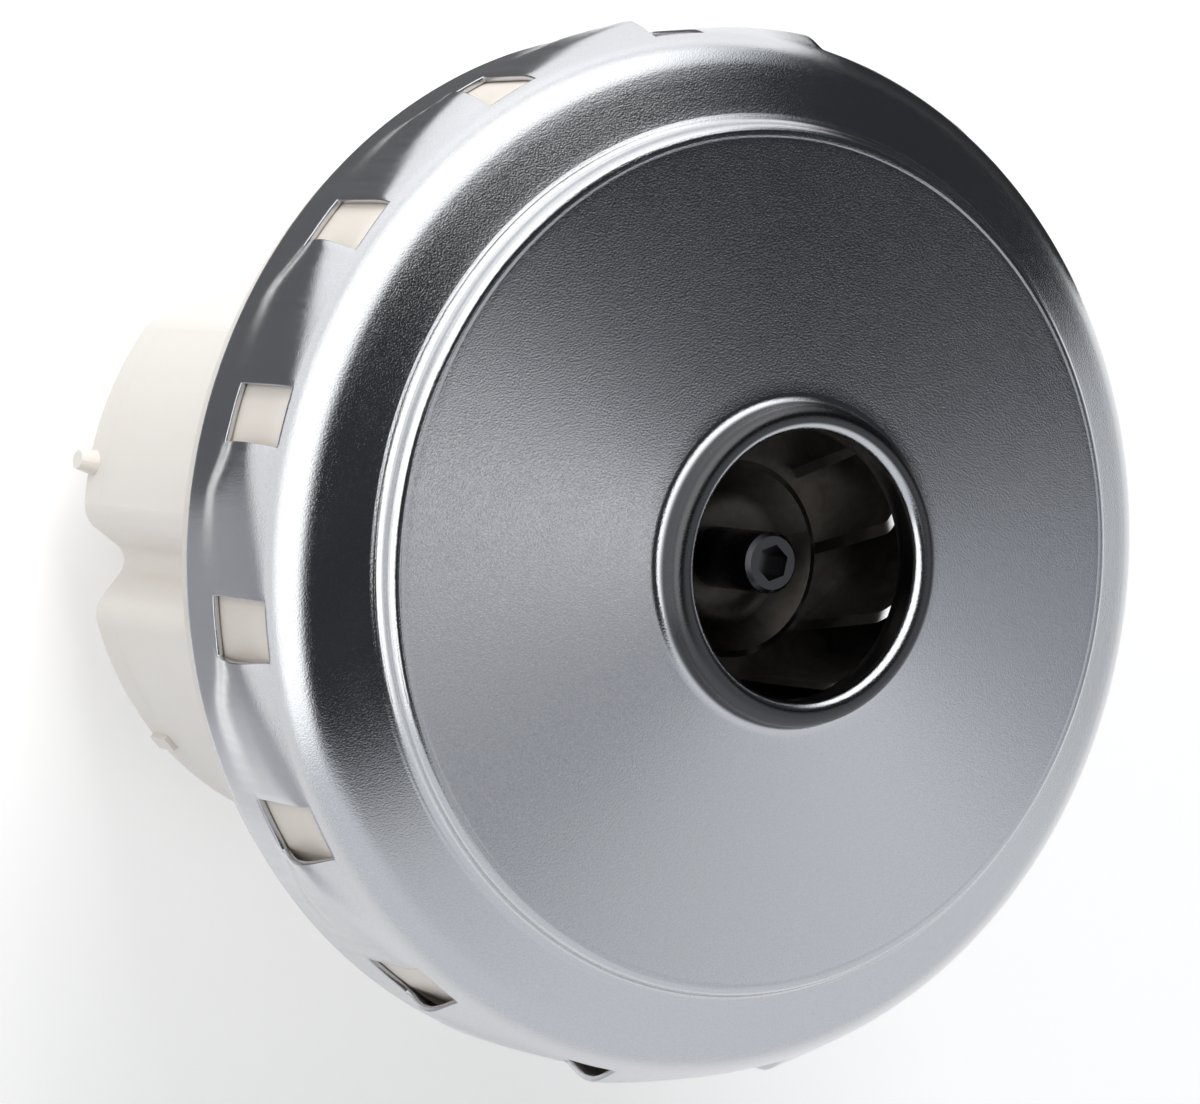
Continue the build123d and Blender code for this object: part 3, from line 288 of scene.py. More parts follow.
paper = bpy.data.materials.new("pale_floor")
paper.use_nodes = True
tree = paper.node_tree
shader = tree.nodes["Principled BSDF"]
put(shader.inputs["Base Color"], PAPER)
put(shader.inputs["Roughness"], PAPER_ROUGHNESS)
put(shader.inputs["Specular IOR Level"], PAPER_SHEEN)
rays = add(tree, "ShaderNodeLightPath").outputs
seen = maths(tree, "MAXIMUM", rays["Is Camera Ray"], rays["Is Glossy Ray"])
seen = maths(tree, "MAXIMUM", seen, rays["Is Transmission Ray"])
put(shader.inputs["Emission Color"], WHITE)
put(shader.inputs["Emission Strength"], maths(tree, "MULTIPLY", seen, PAPER_GLOW))
floor_mesh.materials.append(paper)
print("floor", 2 * FLOOR_HALF, "m wide")

# %% [markdown]
# Near the ground the floor hides the world, so cards lie there, as a photographer's flags
# would. They are strips of a ring on the floor round the unit. One lies under the black gap
# and the others beside the skirt, from dark to pale, which is why the skirt's shade changes
# round the drum in a pale room. Only reflections see them: the camera and the soft light pass
# through.

# %% Floor cards
CARD_STEP, CARD_RISE = 4.0, 0.0006
CARD_TINT, CARD_ROUGHNESS = 1.05, 0.95


def floor_card(name, grey, outline):
    """a strip on the floor from (azimuth, inner radius, outer radius) stations"""
    paint = bpy.data.materials.new(name)
    paint.use_nodes = True
    shader = paint.node_tree.nodes["Principled BSDF"]
    put(shader.inputs["Base Color"], (grey, grey, CARD_TINT * grey, 1.0))
    put(shader.inputs["Roughness"], CARD_ROUGHNESS)
    stations = []
    for here, beyond in zip(outline, outline[1:]):
        steps = max(1, round((beyond[0] - here[0]) / CARD_STEP))
        for k in range(steps):
            stations.append([a + (b - a) * (k / steps) for a, b in zip(here, beyond)])
    stations.append(outline[-1])
    points = []
    for azimuth, *radii in stations:
        angle = math.radians(azimuth)
        points += [(r * math.cos(angle), r * math.sin(angle), CARD_RISE) for r in radii]
    faces = [(2 * k, 2 * k + 1, 2 * k + 3, 2 * k + 2) for k in range(len(stations) - 1)]
    mesh = bpy.data.meshes.new(name)
    mesh.from_pydata(points, [], faces)
    mesh.materials.append(paint)
    made = bpy.data.objects.new(name, mesh)
    bpy.context.scene.collection.objects.link(made)
    made.visible_camera = made.visible_diffuse = made.visible_shadow = False
    made.visible_transmission = made.visible_volume_scatter = False
    print(name, len(faces), "faces")


floor_card("gap_card", 0.02, [(-2.0, 0.16, 5.0), (33.0, 0.13, 5.0)])
floor_card("skirt_card", 0.15, [(55.0, 0.075, 0.13), (112.0, 0.075, 0.17), (124.0, 0.075, 0.28),
                                (158.0, 0.075, 0.28)])
floor_card("side_card", 0.46, [(158.0, 0.075, 0.28), (192.0, 0.09, 0.28)])
floor_card("pale_card", 0.66, [(192.0, 0.09, 0.28), (222.0, 0.13, 0.26)])

# %% [markdown]
# One soft lamp in front of the light wall gives the shadows a direction. Reflections don't
# see it, because the wall is already painted there. It is large, so the shadow's edge stays
# soft, as under a softbox; a sun or a point lamp would draw a hard edge.

# %% Lamp
def lamp(name, azimuth, elevation, distance, width, height, watts):
    """an area lamp that looks at the unit from a direction"""
    data = bpy.data.lights.new(name, "AREA")
    data.shape = "RECTANGLE"
    data.size, data.size_y = width, height
    data.energy = watts
    made = bpy.data.objects.new(name, data)
    a, e = math.radians(azimuth), math.radians(elevation)
    outward = Vector((math.cos(a) * math.cos(e), math.sin(a) * math.cos(e), math.sin(e)))
    made.location = outward * distance
    made.rotation_euler = outward.to_track_quat("Z", "Y").to_euler()
    made.visible_glossy = False
    bpy.context.scene.collection.objects.link(made)


lamp("soft_key", azimuth=78.0, elevation=40.0, distance=1.1, width=0.5, height=0.7, watts=7.0)
print("lamps:", [light.name for light in bpy.data.lights])

# %% [markdown]
# ## Effects that several finishes share
# Each effect is a node group, built once: it takes a few numbers and gives back masks or
# values that change over the surface. The shaders themselves stay in the materials. A
# group's sockets are declared with `interface.new_socket`. The patterns read the object
# coordinates, so they keep their size in metres on every piece.

# %% Group helpers
FLOAT, VECTOR = "NodeSocketFloat", "NodeSocketVector"


def noise(tree, place, scale, detail, roughness=0.5, distortion=0.0):
    """a Noise Texture read at a place"""
    node = add(tree, "ShaderNodeTexNoise")
    put(node.inputs["Vector"], place)
    put(node.inputs["Scale"], scale)
    put(node.inputs["Detail"], detail)
    put(node.inputs["Roughness"], roughness)
    put(node.inputs["Distortion"], distortion)
    return node.outputs["Fac"]


def new_group(name, inputs, outputs):
    """an empty node group with named inputs and outputs"""
    group = bpy.data.node_groups.new(name, "ShaderNodeTree")
    for socket_name, kind, value in inputs:
        socket = group.interface.new_socket(socket_name, in_out="INPUT", socket_type=kind)
        socket.default_value = value
    for socket_name, kind in outputs:
        group.interface.new_socket(socket_name, in_out="OUTPUT", socket_type=kind)
    entry = group.nodes.new("NodeGroupInput")
    leave = group.nodes.new("NodeGroupOutput")
    return group, entry.outputs, leave.inputs


def use(tree, group, **values):
    """a node group placed in a tree, its inputs set by name"""
    node = add(tree, "ShaderNodeGroup", node_tree=group)
    for name, value in values.items():
        put(node.inputs[name.replace("_", " ")], value)
    return node.outputs


print("helpers:", [helper.__name__ for helper in (noise, new_group, use)])

# %% [markdown]
# Cold-rolled tinned sheet is never an even mirror. Its grain clouds the reflection in soft
# patches a few millimetres across, with a finer speckle in them and a few stray scratches.
# A scan of real sheet would repeat and stretch over the drum. Noise doesn't, and a noise
# stretched far along one way gives the scratches.

# %% Sheet grain group
SCRATCH_WAYS = ((0.5, (40.0, 900.0, 900.0)), (2.1, (900.0, 50.0, 900.0)))
SCRATCH_EDGE = (0.745, 0.77)
SPECKLE_LIFT, CLOUD_LIFT = 0.8, 0.12
sheet_grain, given, gives = new_group(
    "Sheet grain",
    [("Patch Scale", FLOAT, 260.0), ("Speckle Scale", FLOAT, 4200.0), ("Scratches", FLOAT, 0.5)],
    [("Cloud", FLOAT), ("Speckle", FLOAT), ("Scratch", FLOAT), ("Height", FLOAT)],
)
where = add(sheet_grain, "ShaderNodeTexCoord").outputs["Object"]
cloud = noise(sheet_grain, where, given["Patch Scale"], detail=4.0, roughness=0.62, distortion=0.6)
speckle = noise(sheet_grain, where, given["Speckle Scale"], detail=2.0, roughness=0.7)
scratch_masks = []
for turn, stretch in SCRATCH_WAYS:
    turned = add(sheet_grain, "ShaderNodeVectorRotate", rotation_type="Z_AXIS")
    put(turned.inputs["Vector"], where)
    put(turned.inputs["Angle"], turn)
    stretched = add(sheet_grain, "ShaderNodeVectorMath", operation="MULTIPLY")
    put(stretched.inputs[0], turned.outputs[0])
    put(stretched.inputs[1], stretch)
    line = noise(sheet_grain, stretched.outputs[0], 1.0, detail=1.0, roughness=0.4, distortion=0.25)
    scratch_masks.append(spread(sheet_grain, line, *SCRATCH_EDGE))
scratch = maths(sheet_grain, "MAXIMUM", *scratch_masks)
scratch = maths(sheet_grain, "MULTIPLY", scratch, given["Scratches"])
height = maths(sheet_grain, "MULTIPLY", cloud, CLOUD_LIFT)
height = maths(sheet_grain, "MULTIPLY_ADD", speckle, SPECKLE_LIFT, height)
put(gives["Cloud"], cloud)
put(gives["Speckle"], speckle)
put(gives["Scratch"], scratch)
put(gives["Height"], maths(sheet_grain, "SUBTRACT", height, scratch))
print(sheet_grain.name, "has", len(sheet_grain.nodes), "nodes")

# %% [markdown]
# Drawn and turned work carries fine lines, either along the axis, where a punch slid along
# the wall, or round it, where a tool turned. Stretched noise in plain coordinates would cross
# a round wall at a slant. One group gives both kinds from the distance and the angle about
# the shaft instead.

# %% Tool lines group
LINES_ROUND = 70.0


def object_parts(tree):
    """the object coordinates of the shaded place, separated"""
    parts = add(tree, "ShaderNodeSeparateXYZ")
    put(parts.inputs[0], add(tree, "ShaderNodeTexCoord").outputs["Object"])
    return parts.outputs


def from_shaft(tree, parts):
    """the distance of a place from the shaft's axis, from its separated coordinates"""
    flat = add(tree, "ShaderNodeCombineXYZ")
    put(flat.inputs[0], parts[0])
    put(flat.inputs[1], parts[1])
    length = add(tree, "ShaderNodeVectorMath", operation="LENGTH")
    put(length.inputs[0], flat.outputs[0])
    return length.outputs["Value"]


tool_lines, given, gives = new_group(
    "Tool lines",
    [("Round Scale", FLOAT, 900.0), ("Along Scale", FLOAT, 12.0)],
    [("Round Lines", FLOAT), ("Axial Lines", FLOAT)],
)
parts = object_parts(tool_lines)
angle = maths(tool_lines, "ARCTAN2", parts[1], parts[0])
from_axis = from_shaft(tool_lines, parts)
round_place = add(tool_lines, "ShaderNodeCombineXYZ")
put(round_place.inputs[0], maths(tool_lines, "MULTIPLY", from_axis, given["Round Scale"]))
put(round_place.inputs[1], maths(tool_lines, "MULTIPLY", parts[2], given["Round Scale"]))
put(round_place.inputs[2], angle)
axial_place = add(tool_lines, "ShaderNodeCombineXYZ")
put(axial_place.inputs[0], maths(tool_lines, "MULTIPLY", angle, LINES_ROUND))
put(axial_place.inputs[1], maths(tool_lines, "MULTIPLY", parts[2], given["Along Scale"]))
round_lines = noise(tool_lines, round_place.outputs[0], 1.0, detail=2.0, roughness=0.6)
axial_lines = noise(tool_lines, axial_place.outputs[0], 1.0, detail=3.0, roughness=0.7)
put(gives["Round Lines"], round_lines)
put(gives["Axial Lines"], axial_lines)
print(tool_lines.name, "has", len(tool_lines.nodes), "nodes")

# %% [markdown]
# Moulded plastic is even in colour, with a faint cloudiness and a fine spark-eroded texture.
# The group also gives a mask of the places where two walls meet. The dark finishes lay a
# lighter dust there, and the pale ones a darker colour as painted shade. Colour there could be
# painted by hand on each piece. An Ambient Occlusion node finds the corners by itself.

# %% Moulded skin group
CORNER_SAMPLES, CORNER_FADE = 6, (0.35, 0.95)
moulded_skin, given, gives = new_group(
    "Moulded skin",
    [("Cloud Scale", FLOAT, 45.0), ("Grain Scale", FLOAT, 2600.0), ("Dust Reach", FLOAT, 0.006)],
    [("Cloud", FLOAT), ("Grain", FLOAT), ("Dust", FLOAT)],
)
where = add(moulded_skin, "ShaderNodeTexCoord").outputs["Object"]
put(gives["Cloud"], noise(moulded_skin, where, given["Cloud Scale"], detail=3.0))
put(gives["Grain"], noise(moulded_skin, where, given["Grain Scale"], detail=2.0, roughness=0.6))
corner = add(moulded_skin, "ShaderNodeAmbientOcclusion", samples=CORNER_SAMPLES)
put(corner.inputs["Distance"], given["Dust Reach"])
# corner mask: dark finishes lay dust on it, pale ones painted shade
put(gives["Dust"], spread(moulded_skin, corner.outputs["AO"], *CORNER_FADE, 1.0, 0.0))
print(moulded_skin.name, "has", len(moulded_skin.nodes), "nodes")

# %% [markdown]
# Laminated iron shows the edges of its sheets, and a wound coil the backs of its wires. Both
# are fine stripes along one direction, so one group serves both. Modelled as real sheets and
# wires they would take far more faces than anyone sees inside the closed unit.

# %% Layer lines group
WANDER_SCALE = 180.0
layer_lines, given, gives = new_group(
    "Layer lines",
    [("Along", VECTOR, (0.0, 0.0, 1.0)), ("Pitch", FLOAT, 0.0005), ("Wander", FLOAT, 0.15)],
    [("Line", FLOAT), ("Layer Shade", FLOAT)],
)
where = add(layer_lines, "ShaderNodeTexCoord").outputs["Object"]
depth = add(layer_lines, "ShaderNodeVectorMath", operation="DOT_PRODUCT")
put(depth.inputs[0], where)
put(depth.inputs[1], given["Along"])
wander = noise(layer_lines, where, WANDER_SCALE, detail=2.0)
wander = maths(layer_lines, "MULTIPLY", wander, given["Wander"])
count = maths(layer_lines, "DIVIDE", depth.outputs["Value"], given["Pitch"])
count = maths(layer_lines, "ADD", count, wander)
wave = maths(layer_lines, "SINE", maths(layer_lines, "MULTIPLY", count, 2 * math.pi))
put(gives["Line"], maths(layer_lines, "MULTIPLY_ADD", wave, 0.5, 0.5))
each_layer = add(layer_lines, "ShaderNodeTexWhiteNoise", noise_dimensions="1D")
put(each_layer.inputs["W"], maths(layer_lines, "FLOOR", count))
put(gives["Layer Shade"], each_layer.outputs["Value"])
print("groups:", [group.name for group in bpy.data.node_groups])

# %% [markdown]
# ## The finishes
# A finish is a material: one Principled shader with its constant numbers set on its own
# sockets, and the changing ones fed by the groups. Most values of a noise lie near one half,
# so its middle is spread out before it mixes two colours or two degrees of roughness.

# %% Material helpers
MOST, NEARLY_ALL = (0.3, 0.7), (0.25, 0.75)
finishes = {}


def new_finish(name, slot, **constants):
    """a fresh material for one slot of the record, with its shader's constants"""
    made = bpy.data.materials.new(name)
    made.use_nodes = True
    base = made.node_tree.nodes["Principled BSDF"]
    for socket, value in constants.items():
        put(base.inputs[socket.replace("_", " ")], value)
    finishes[slot] = made
    return made.node_tree, base


def shade(tree, value, dark, light):
    """a colour between a dark and a light one"""
    return blend_colours(tree, value, (*dark, 1.0), (*light, 1.0))


def bump(tree, height, strength, distance):
    """a Bump node on a height"""
    node = add(tree, "ShaderNodeBump")
    put(node.inputs["Strength"], strength)
    put(node.inputs["Distance"], distance)
    put(node.inputs["Height"], height)
    return node.outputs["Normal"]


print("helpers:", [helper.__name__ for helper in (new_finish, shade, bump)])

# %% [markdown]
# The shell is one sheet with one coating, but the press worked it differently from place to
# place. It could be cut into regions with a material each, but the borders would show. Here
# three masks, from the height along the shaft and the distance from it, say where the skirt,
# the step ring and the rolled lip are. They fade over about half a millimetre, and the
# skirt's over two.

# %% Places on the shell
SKIRT_FADE, LIP_FADE = (0.0965, 0.0985), (0.1146, 0.1152)
LIP_INNER, LIP_OUTER = (0.0172, 0.0176), (0.0198, 0.0203)
STEP_INNER, STEP_OUTER = (0.0520, 0.0524), (0.0546, 0.0550)
tree, base = new_finish("drawn_tinned_steel", "shell_steel", Metallic=1.0)
parts = object_parts(tree)
height, from_axis = parts[2], from_shaft(tree, parts)


def ring_mask(inner, outer, smooth):
    """1 between two distances from the shaft, with a fade at each"""
    return maths(tree, "MULTIPLY", spread(tree, from_axis, *inner, smooth=smooth),
                 spread(tree, from_axis, *outer, 1.0, 0.0, smooth=smooth))


on_skirt = spread(tree, height, *SKIRT_FADE, 1.0, 0.0, smooth=True)
on_lip = maths(tree, "MULTIPLY", spread(tree, height, *LIP_FADE, smooth=True),
               ring_mask(LIP_INNER, LIP_OUTER, smooth=True))
on_step = ring_mask(STEP_INNER, STEP_OUTER, smooth=False)
print("masks on the shell use", len(tree.nodes), "nodes")

# %% [markdown]
# The steel itself is bright and tinned. The clouds move its roughness and the speckle
# roughens small spots. The skirt takes the fine axial lines that the drawing punch leaves,
# the step ring shows the streaks of its die, and the rolled lip is rougher and its colour is
# painted dark, a painted dark reflection. Roughness does most of the work, because it blurs or
# sharpens the room's reflection from spot to spot, which a change of colour alone couldn't do.

# %% Shell steel
SMOOTH, CLOUD_ROUGH, SPECKLE_ROUGH = 0.098, 0.03, 0.045
LINE_ROUGH, SCRATCH_ROUGH, LIP_ROUGH = 0.12, 0.2, 0.16
LINE_LIFT, STREAK_LIFT = 0.06, 3.0
ROUGH_SPECKLE, TINTED_SPECKLE = (0.42, 0.72), (0.3, 0.75)
TIN_DARK, TIN_LIGHT = (0.60, 0.61, 0.635), (0.68, 0.69, 0.71)
PAINTED_LIP_REFLECTION = (0.09, 0.09, 0.095, 1.0)
grain = use(tree, sheet_grain, Patch_Scale=160.0, Speckle_Scale=4400.0, Scratches=0.05)
lines = use(tree, tool_lines, Round_Scale=1400.0, Along_Scale=30.0)
axial = maths(tree, "MULTIPLY", spread(tree, lines["Axial Lines"], *MOST), on_skirt)
streaks = maths(tree, "MULTIPLY", lines["Round Lines"], on_step)
rough = SMOOTH
for mask, share in (
    (spread(tree, grain["Cloud"], *MOST), CLOUD_ROUGH),
    (spread(tree, grain["Speckle"], *ROUGH_SPECKLE), SPECKLE_ROUGH),
    (axial, LINE_ROUGH),
    (grain["Scratch"], SCRATCH_ROUGH),
    (on_lip, LIP_ROUGH),
):
    rough = maths(tree, "MULTIPLY_ADD", mask, share, rough)
put(base.inputs["Roughness"], rough)
tint = shade(tree, spread(tree, grain["Speckle"], *TINTED_SPECKLE), TIN_DARK, TIN_LIGHT)
# painted dark reflection: the rolled lip's colour is painted near black
put(base.inputs["Base Color"], blend_colours(tree, on_lip, tint, PAINTED_LIP_REFLECTION))
relief = maths(tree, "MULTIPLY_ADD", axial, LINE_LIFT, grain["Height"])
relief = maths(tree, "MULTIPLY_ADD", streaks, STREAK_LIFT, relief)
put(base.inputs["Normal"], bump(tree, relief, strength=0.6, distance=0.00005))
print("shell steel, roughness from", SMOOTH)

# %% [markdown]
# The cream mouldings are undyed filled nylon: satin and not quite opaque. Their corners are
# painted a darker, warmer brown, which is painted shade. A little subsurface light gives the
# soft look of nylon; more of it would blur the fine edges. The guide plate behind the windows
# is a slightly warmer batch.

# %% Cream plastics
NYLON_RADIUS = (0.004, 0.003, 0.002)


def dust_and_shade(tree, colour, skin, share, corner_colour):
    """a colour mixed towards another in corners: dust on dark pieces, painted shade on pale ones"""
    return blend_colours(tree, maths(tree, "MULTIPLY", skin["Dust"], share), colour, (*corner_colour, 1.0))


for slot, light, dark in (
    ("cream_plastic", (0.90, 0.865, 0.82), (0.86, 0.815, 0.765)),
    ("cream_guide", (0.93, 0.87, 0.80), (0.88, 0.81, 0.73)),
):
    tree, base = new_finish(slot, slot, Specular_IOR_Level=0.45, Subsurface_Weight=0.06,
                            Subsurface_Radius=NYLON_RADIUS, Subsurface_Scale=1.0)
    skin = use(tree, moulded_skin, Cloud_Scale=38.0, Grain_Scale=2400.0)
    colour = shade(tree, spread(tree, skin["Cloud"], *MOST), dark, light)
    # painted shade: the corners darken towards a warm brown
    put(base.inputs["Base Color"], dust_and_shade(tree, colour, skin, share=0.35, corner_colour=(0.55, 0.46, 0.38)))
    put(base.inputs["Roughness"], spread(tree, skin["Grain"], *NEARLY_ALL, 0.38, 0.52))
    put(base.inputs["Normal"], bump(tree, skin["Grain"], strength=0.25, distance=0.00003))
    print(slot, "from", dark, "to", light)

# %% [markdown]
# The mouldings inside, such as the bracket, the fan, the bearings' cages and the insulation,
# could have a material each. They are all moulded or pressed the same way, so they share one
# recipe and a table holds their own colours and roughness.

# %% Dark plastics
ROUGHER = 0.12
for slot, light, dark, rough in (
    ("bracket_plastic", (0.050, 0.050, 0.054), (0.030, 0.030, 0.033), 0.42),
    ("fan_plastic", (0.038, 0.038, 0.042), (0.022, 0.022, 0.025), 0.36),
    ("bearing_cage", (0.30, 0.22, 0.12), (0.22, 0.15, 0.08), 0.40),
    ("insulation", (0.68, 0.60, 0.42), (0.55, 0.47, 0.32), 0.62),
):
    tree, base = new_finish(slot, slot, Specular_IOR_Level=0.5)
    skin = use(tree, moulded_skin, Cloud_Scale=70.0, Grain_Scale=2200.0, Dust_Reach=0.004)
    colour = shade(tree, spread(tree, skin["Cloud"], *MOST), dark, light)
    # corners: lighter dust on the black pieces, painted shade on the pale insulation
    put(base.inputs["Base Color"], dust_and_shade(tree, colour, skin, share=0.25, corner_colour=(0.30, 0.28, 0.26)))
    put(base.inputs["Roughness"], spread(tree, skin["Grain"], *NEARLY_ALL, rough, rough + ROUGHER))
    put(base.inputs["Normal"], bump(tree, skin["Grain"], strength=0.4, distance=0.00004))
    print(slot, "roughness from", rough)

# %% [markdown]
# Metals turned or pressed round the shaft are the impeller's sheet, the washers, the nut, the
# bearings and the screws. They differ in colour, in how rough they are and in how strongly
# the tool's rings show, so a table of those numbers is enough. The impeller's disc and the
# dished washer, deep in the inlet, have very dark colours, which are painted shade. Two of
# the metals change over their own surface: a vane's edges that face along the shaft are
# bright, bare cut steel with a painted highlight, and the zinc-plated steel deep in the inlet,
# where the nut sits, is painted dark as painted shade. Both are found from the surface itself,
# the edges by the way they face and the dark part by its height.

# %% Marks on two of the metals
EDGE_FACING, BRIGHT_EDGE = (0.3, 0.5), (0.85, 0.85, 0.84, 1.0)
INLET_SHADE_HEIGHT, PAINTED_INLET_SHADE = (0.095, 0.096), (0.075, 0.075, 0.08, 1.0)


def bright_edges(tree, colour):
    """a colour that turns bright on faces that look along the shaft: bare cut edge and painted highlight
    """
    facing = add(tree, "ShaderNodeSeparateXYZ")
    put(facing.inputs[0], add(tree, "ShaderNodeTexCoord").outputs["Normal"])
    on_edge = spread(tree, maths(tree, "ABSOLUTE", facing.outputs[2]), *EDGE_FACING)
    # painted highlight: the vanes' edges turn near white, over their bare cut steel
    return blend_colours(tree, on_edge, colour, BRIGHT_EDGE)


def shaded_in_inlet(tree, colour):
    """a colour that turns dark above a height: painted shade on what sits deep in the inlet"""
    # painted shade: zinc-plated steel above this height, deep in the inlet, turns near black
    in_inlet_shade = spread(tree, object_parts(tree)[2], *INLET_SHADE_HEIGHT)
    return blend_colours(tree, in_inlet_shade, colour, PAINTED_INLET_SHADE)


marks = {"impeller_vane": bright_edges, "steel_zinc": shaded_in_inlet}
print("marks on", list(marks))

# %% [markdown]
# With the marks at hand, one loop makes all the metals. The clouds of the sheet grain and the
# tool's rings together set the roughness, and the same two give the relief.

# %% Turned and pressed metals
CLOUD_SHARE, RING_SHARE, MIXED_RANGE = 0.7, 0.3, (0.2, 0.8)
RING_LIFT, GRAIN_LIFT = 0.6, 0.4
for slot, light, dark, rough_low, rough_high, rings in (
    # painted shade: this row and dish_metal, deep in the inlet, have very dark colours
    ("impeller_metal", (0.21, 0.20, 0.19), (0.13, 0.12, 0.115), 0.30, 0.44, 0.4),
    ("impeller_vane", (0.48, 0.45, 0.42), (0.32, 0.30, 0.28), 0.36, 0.50, 0.0),
    ("dish_metal", (0.085, 0.075, 0.067), (0.05, 0.045, 0.04), 0.30, 0.42, 0.6),
    ("steel_ground", (0.62, 0.62, 0.63), (0.50, 0.50, 0.51), 0.18, 0.30, 0.5),
    ("steel_zinc", (0.66, 0.67, 0.69), (0.54, 0.55, 0.57), 0.22, 0.36, 0.3),
    ("spring_steel", (0.52, 0.52, 0.54), (0.42, 0.42, 0.44), 0.24, 0.34, 0.0),
    ("bearing_steel", (0.72, 0.72, 0.74), (0.62, 0.62, 0.64), 0.08, 0.16, 0.2),
    ("brass_sheet", (0.72, 0.52, 0.22), (0.58, 0.40, 0.15), 0.22, 0.36, 0.0),
    ("commutator_copper", (0.70, 0.36, 0.22), (0.42, 0.20, 0.12), 0.20, 0.38, 0.8),
):
    tree, base = new_finish(slot, slot, Metallic=1.0)
    grain = use(tree, sheet_grain, Patch_Scale=300.0, Speckle_Scale=2200.0, Scratches=0.3)
    lines = use(tree, tool_lines, Round_Scale=2600.0, Along_Scale=20.0)
    ring_rough = maths(tree, "MULTIPLY", spread(tree, lines["Round Lines"], *MOST), rings)
    mixed = maths(tree, "ADD", maths(tree, "MULTIPLY", grain["Cloud"], CLOUD_SHARE),
                  maths(tree, "MULTIPLY", ring_rough, RING_SHARE))
    put(base.inputs["Roughness"], spread(tree, mixed, *MIXED_RANGE, rough_low, rough_high))
    colour = shade(tree, spread(tree, grain["Cloud"], *MOST), dark, light)
    if slot in marks:
        colour = marks[slot](tree, colour)
    put(base.inputs["Base Color"], colour)
    relief = maths(tree, "MULTIPLY", grain["Height"], GRAIN_LIFT)
    relief = maths(tree, "MULTIPLY_ADD", ring_rough, RING_LIFT, relief)
    put(base.inputs["Normal"], bump(tree, relief, strength=0.3, distance=0.00003))
print(len(finishes), "finishes so far")

# %% [markdown]
# Laminated iron and the wound coils take the layer lines: half-millimetre sheets for the
# iron, and wires a little thicker for the coils, each with its own shade. The stripes of the
# iron lie square to the shaft. Those of the coils run at a slant, because a coil's wires
# turn round it and no straight direction would suit all its sides.

# %% Iron and windings
GROOVE, ROUGHER = (0.0, 0.35), 0.18
for slot, light, dark, stacked, pitch, metal, rough in (
    ("lamination_steel", (0.20, 0.205, 0.22), (0.10, 0.10, 0.11), (0, 0, 1), 0.0005, 0.85, 0.40),
    ("enamelled_copper", (0.52, 0.17, 0.05), (0.26, 0.07, 0.02), (0.35, 0.35, 0.87), 0.0006, 0.75, 0.25),
):
    tree, base = new_finish(slot, slot, Metallic=metal)
    layers = use(tree, layer_lines, Along=stacked, Pitch=pitch, Wander=0.5)
    skin = use(tree, moulded_skin, Cloud_Scale=120.0, Grain_Scale=1800.0, Dust_Reach=0.003)
    out_of_groove = spread(tree, layers["Line"], *GROOVE)
    colour = shade(tree, maths(tree, "MULTIPLY", layers["Layer Shade"], out_of_groove), dark, light)
    # corners: a dull brown, dust on the iron and painted shade on the brighter copper
    put(base.inputs["Base Color"], dust_and_shade(tree, colour, skin, share=0.3, corner_colour=(0.20, 0.17, 0.14)))
    put(base.inputs["Roughness"], spread(tree, skin["Grain"], *MOST, rough, rough + ROUGHER))
    put(base.inputs["Normal"], bump(tree, layers["Line"], strength=0.6, distance=0.0001))
    print(slot, "pitch", pitch)

# %% [markdown]
# The soft and dull materials are pressed carbon, felt and rubber. Felt could be made of real
# hairs, but it is a small hidden ring here. All three are rough all over and differ in the
# size and the depth of their grain, so they share a recipe too.

# %% Carbon, felt and rubber
DULL = (0.68, 0.9)
for slot, light, dark, grain_scale, lift in (
    ("carbon", (0.030, 0.030, 0.032), (0.014, 0.014, 0.015), 3000.0, 0.00003),
    ("felt", (0.56, 0.53, 0.47), (0.40, 0.37, 0.32), 1400.0, 0.0002),
    ("rubber", (0.030, 0.030, 0.031), (0.016, 0.016, 0.017), 2000.0, 0.00004),
):
    tree, base = new_finish(slot, slot, Specular_IOR_Level=0.3)
    skin = use(tree, moulded_skin, Cloud_Scale=160.0, Grain_Scale=grain_scale, Dust_Reach=0.003)
    colour = shade(tree, spread(tree, skin["Grain"], *MOST), dark, light)
    # corners: lighter dust on carbon and rubber, painted shade on the paler felt
    put(base.inputs["Base Color"], dust_and_shade(tree, colour, skin, share=0.2, corner_colour=(0.3, 0.28, 0.25)))
    put(base.inputs["Roughness"], spread(tree, skin["Cloud"], *MOST, *DULL))
    put(base.inputs["Normal"], bump(tree, skin["Grain"], strength=0.6, distance=lift))
print(len(finishes), "finishes")

# %% [markdown]
# ## Dressing the solids
# The record says which slot each solid belongs to. A solid keeps its shape and gets its
# slot's finish, so a change of one material shows on all the pieces made of it.

# %% Give every solid its finish
slot_of = {row["node"]: row["material_slot"] for row in frame["record"]["subparts"]}
for name, solid in nodes.items():
    solid.data.materials.clear()
    solid.data.materials.append(finishes[slot_of[name]])
print("dressed", len(nodes), "solids")

# %% [markdown]
# ## The louvred shell
# The real shell is one sheet. Sixteen slots are cut in its skirt, and beside each the wall is
# pushed outward into a low scoop that fades into the next slot. A solid made of wedges has
# sharp creases there, where pressed steel flows. Here the shell is a fine grid: its rows
# follow the drawn section from the skirt's edge to the rolled lip, its columns follow the
# slots, and each point is moved out by a smooth formula. The slots are grid cells left out.
# A Solidify modifier gives the sheet its thickness and a Bevel modifier breaks its edges.

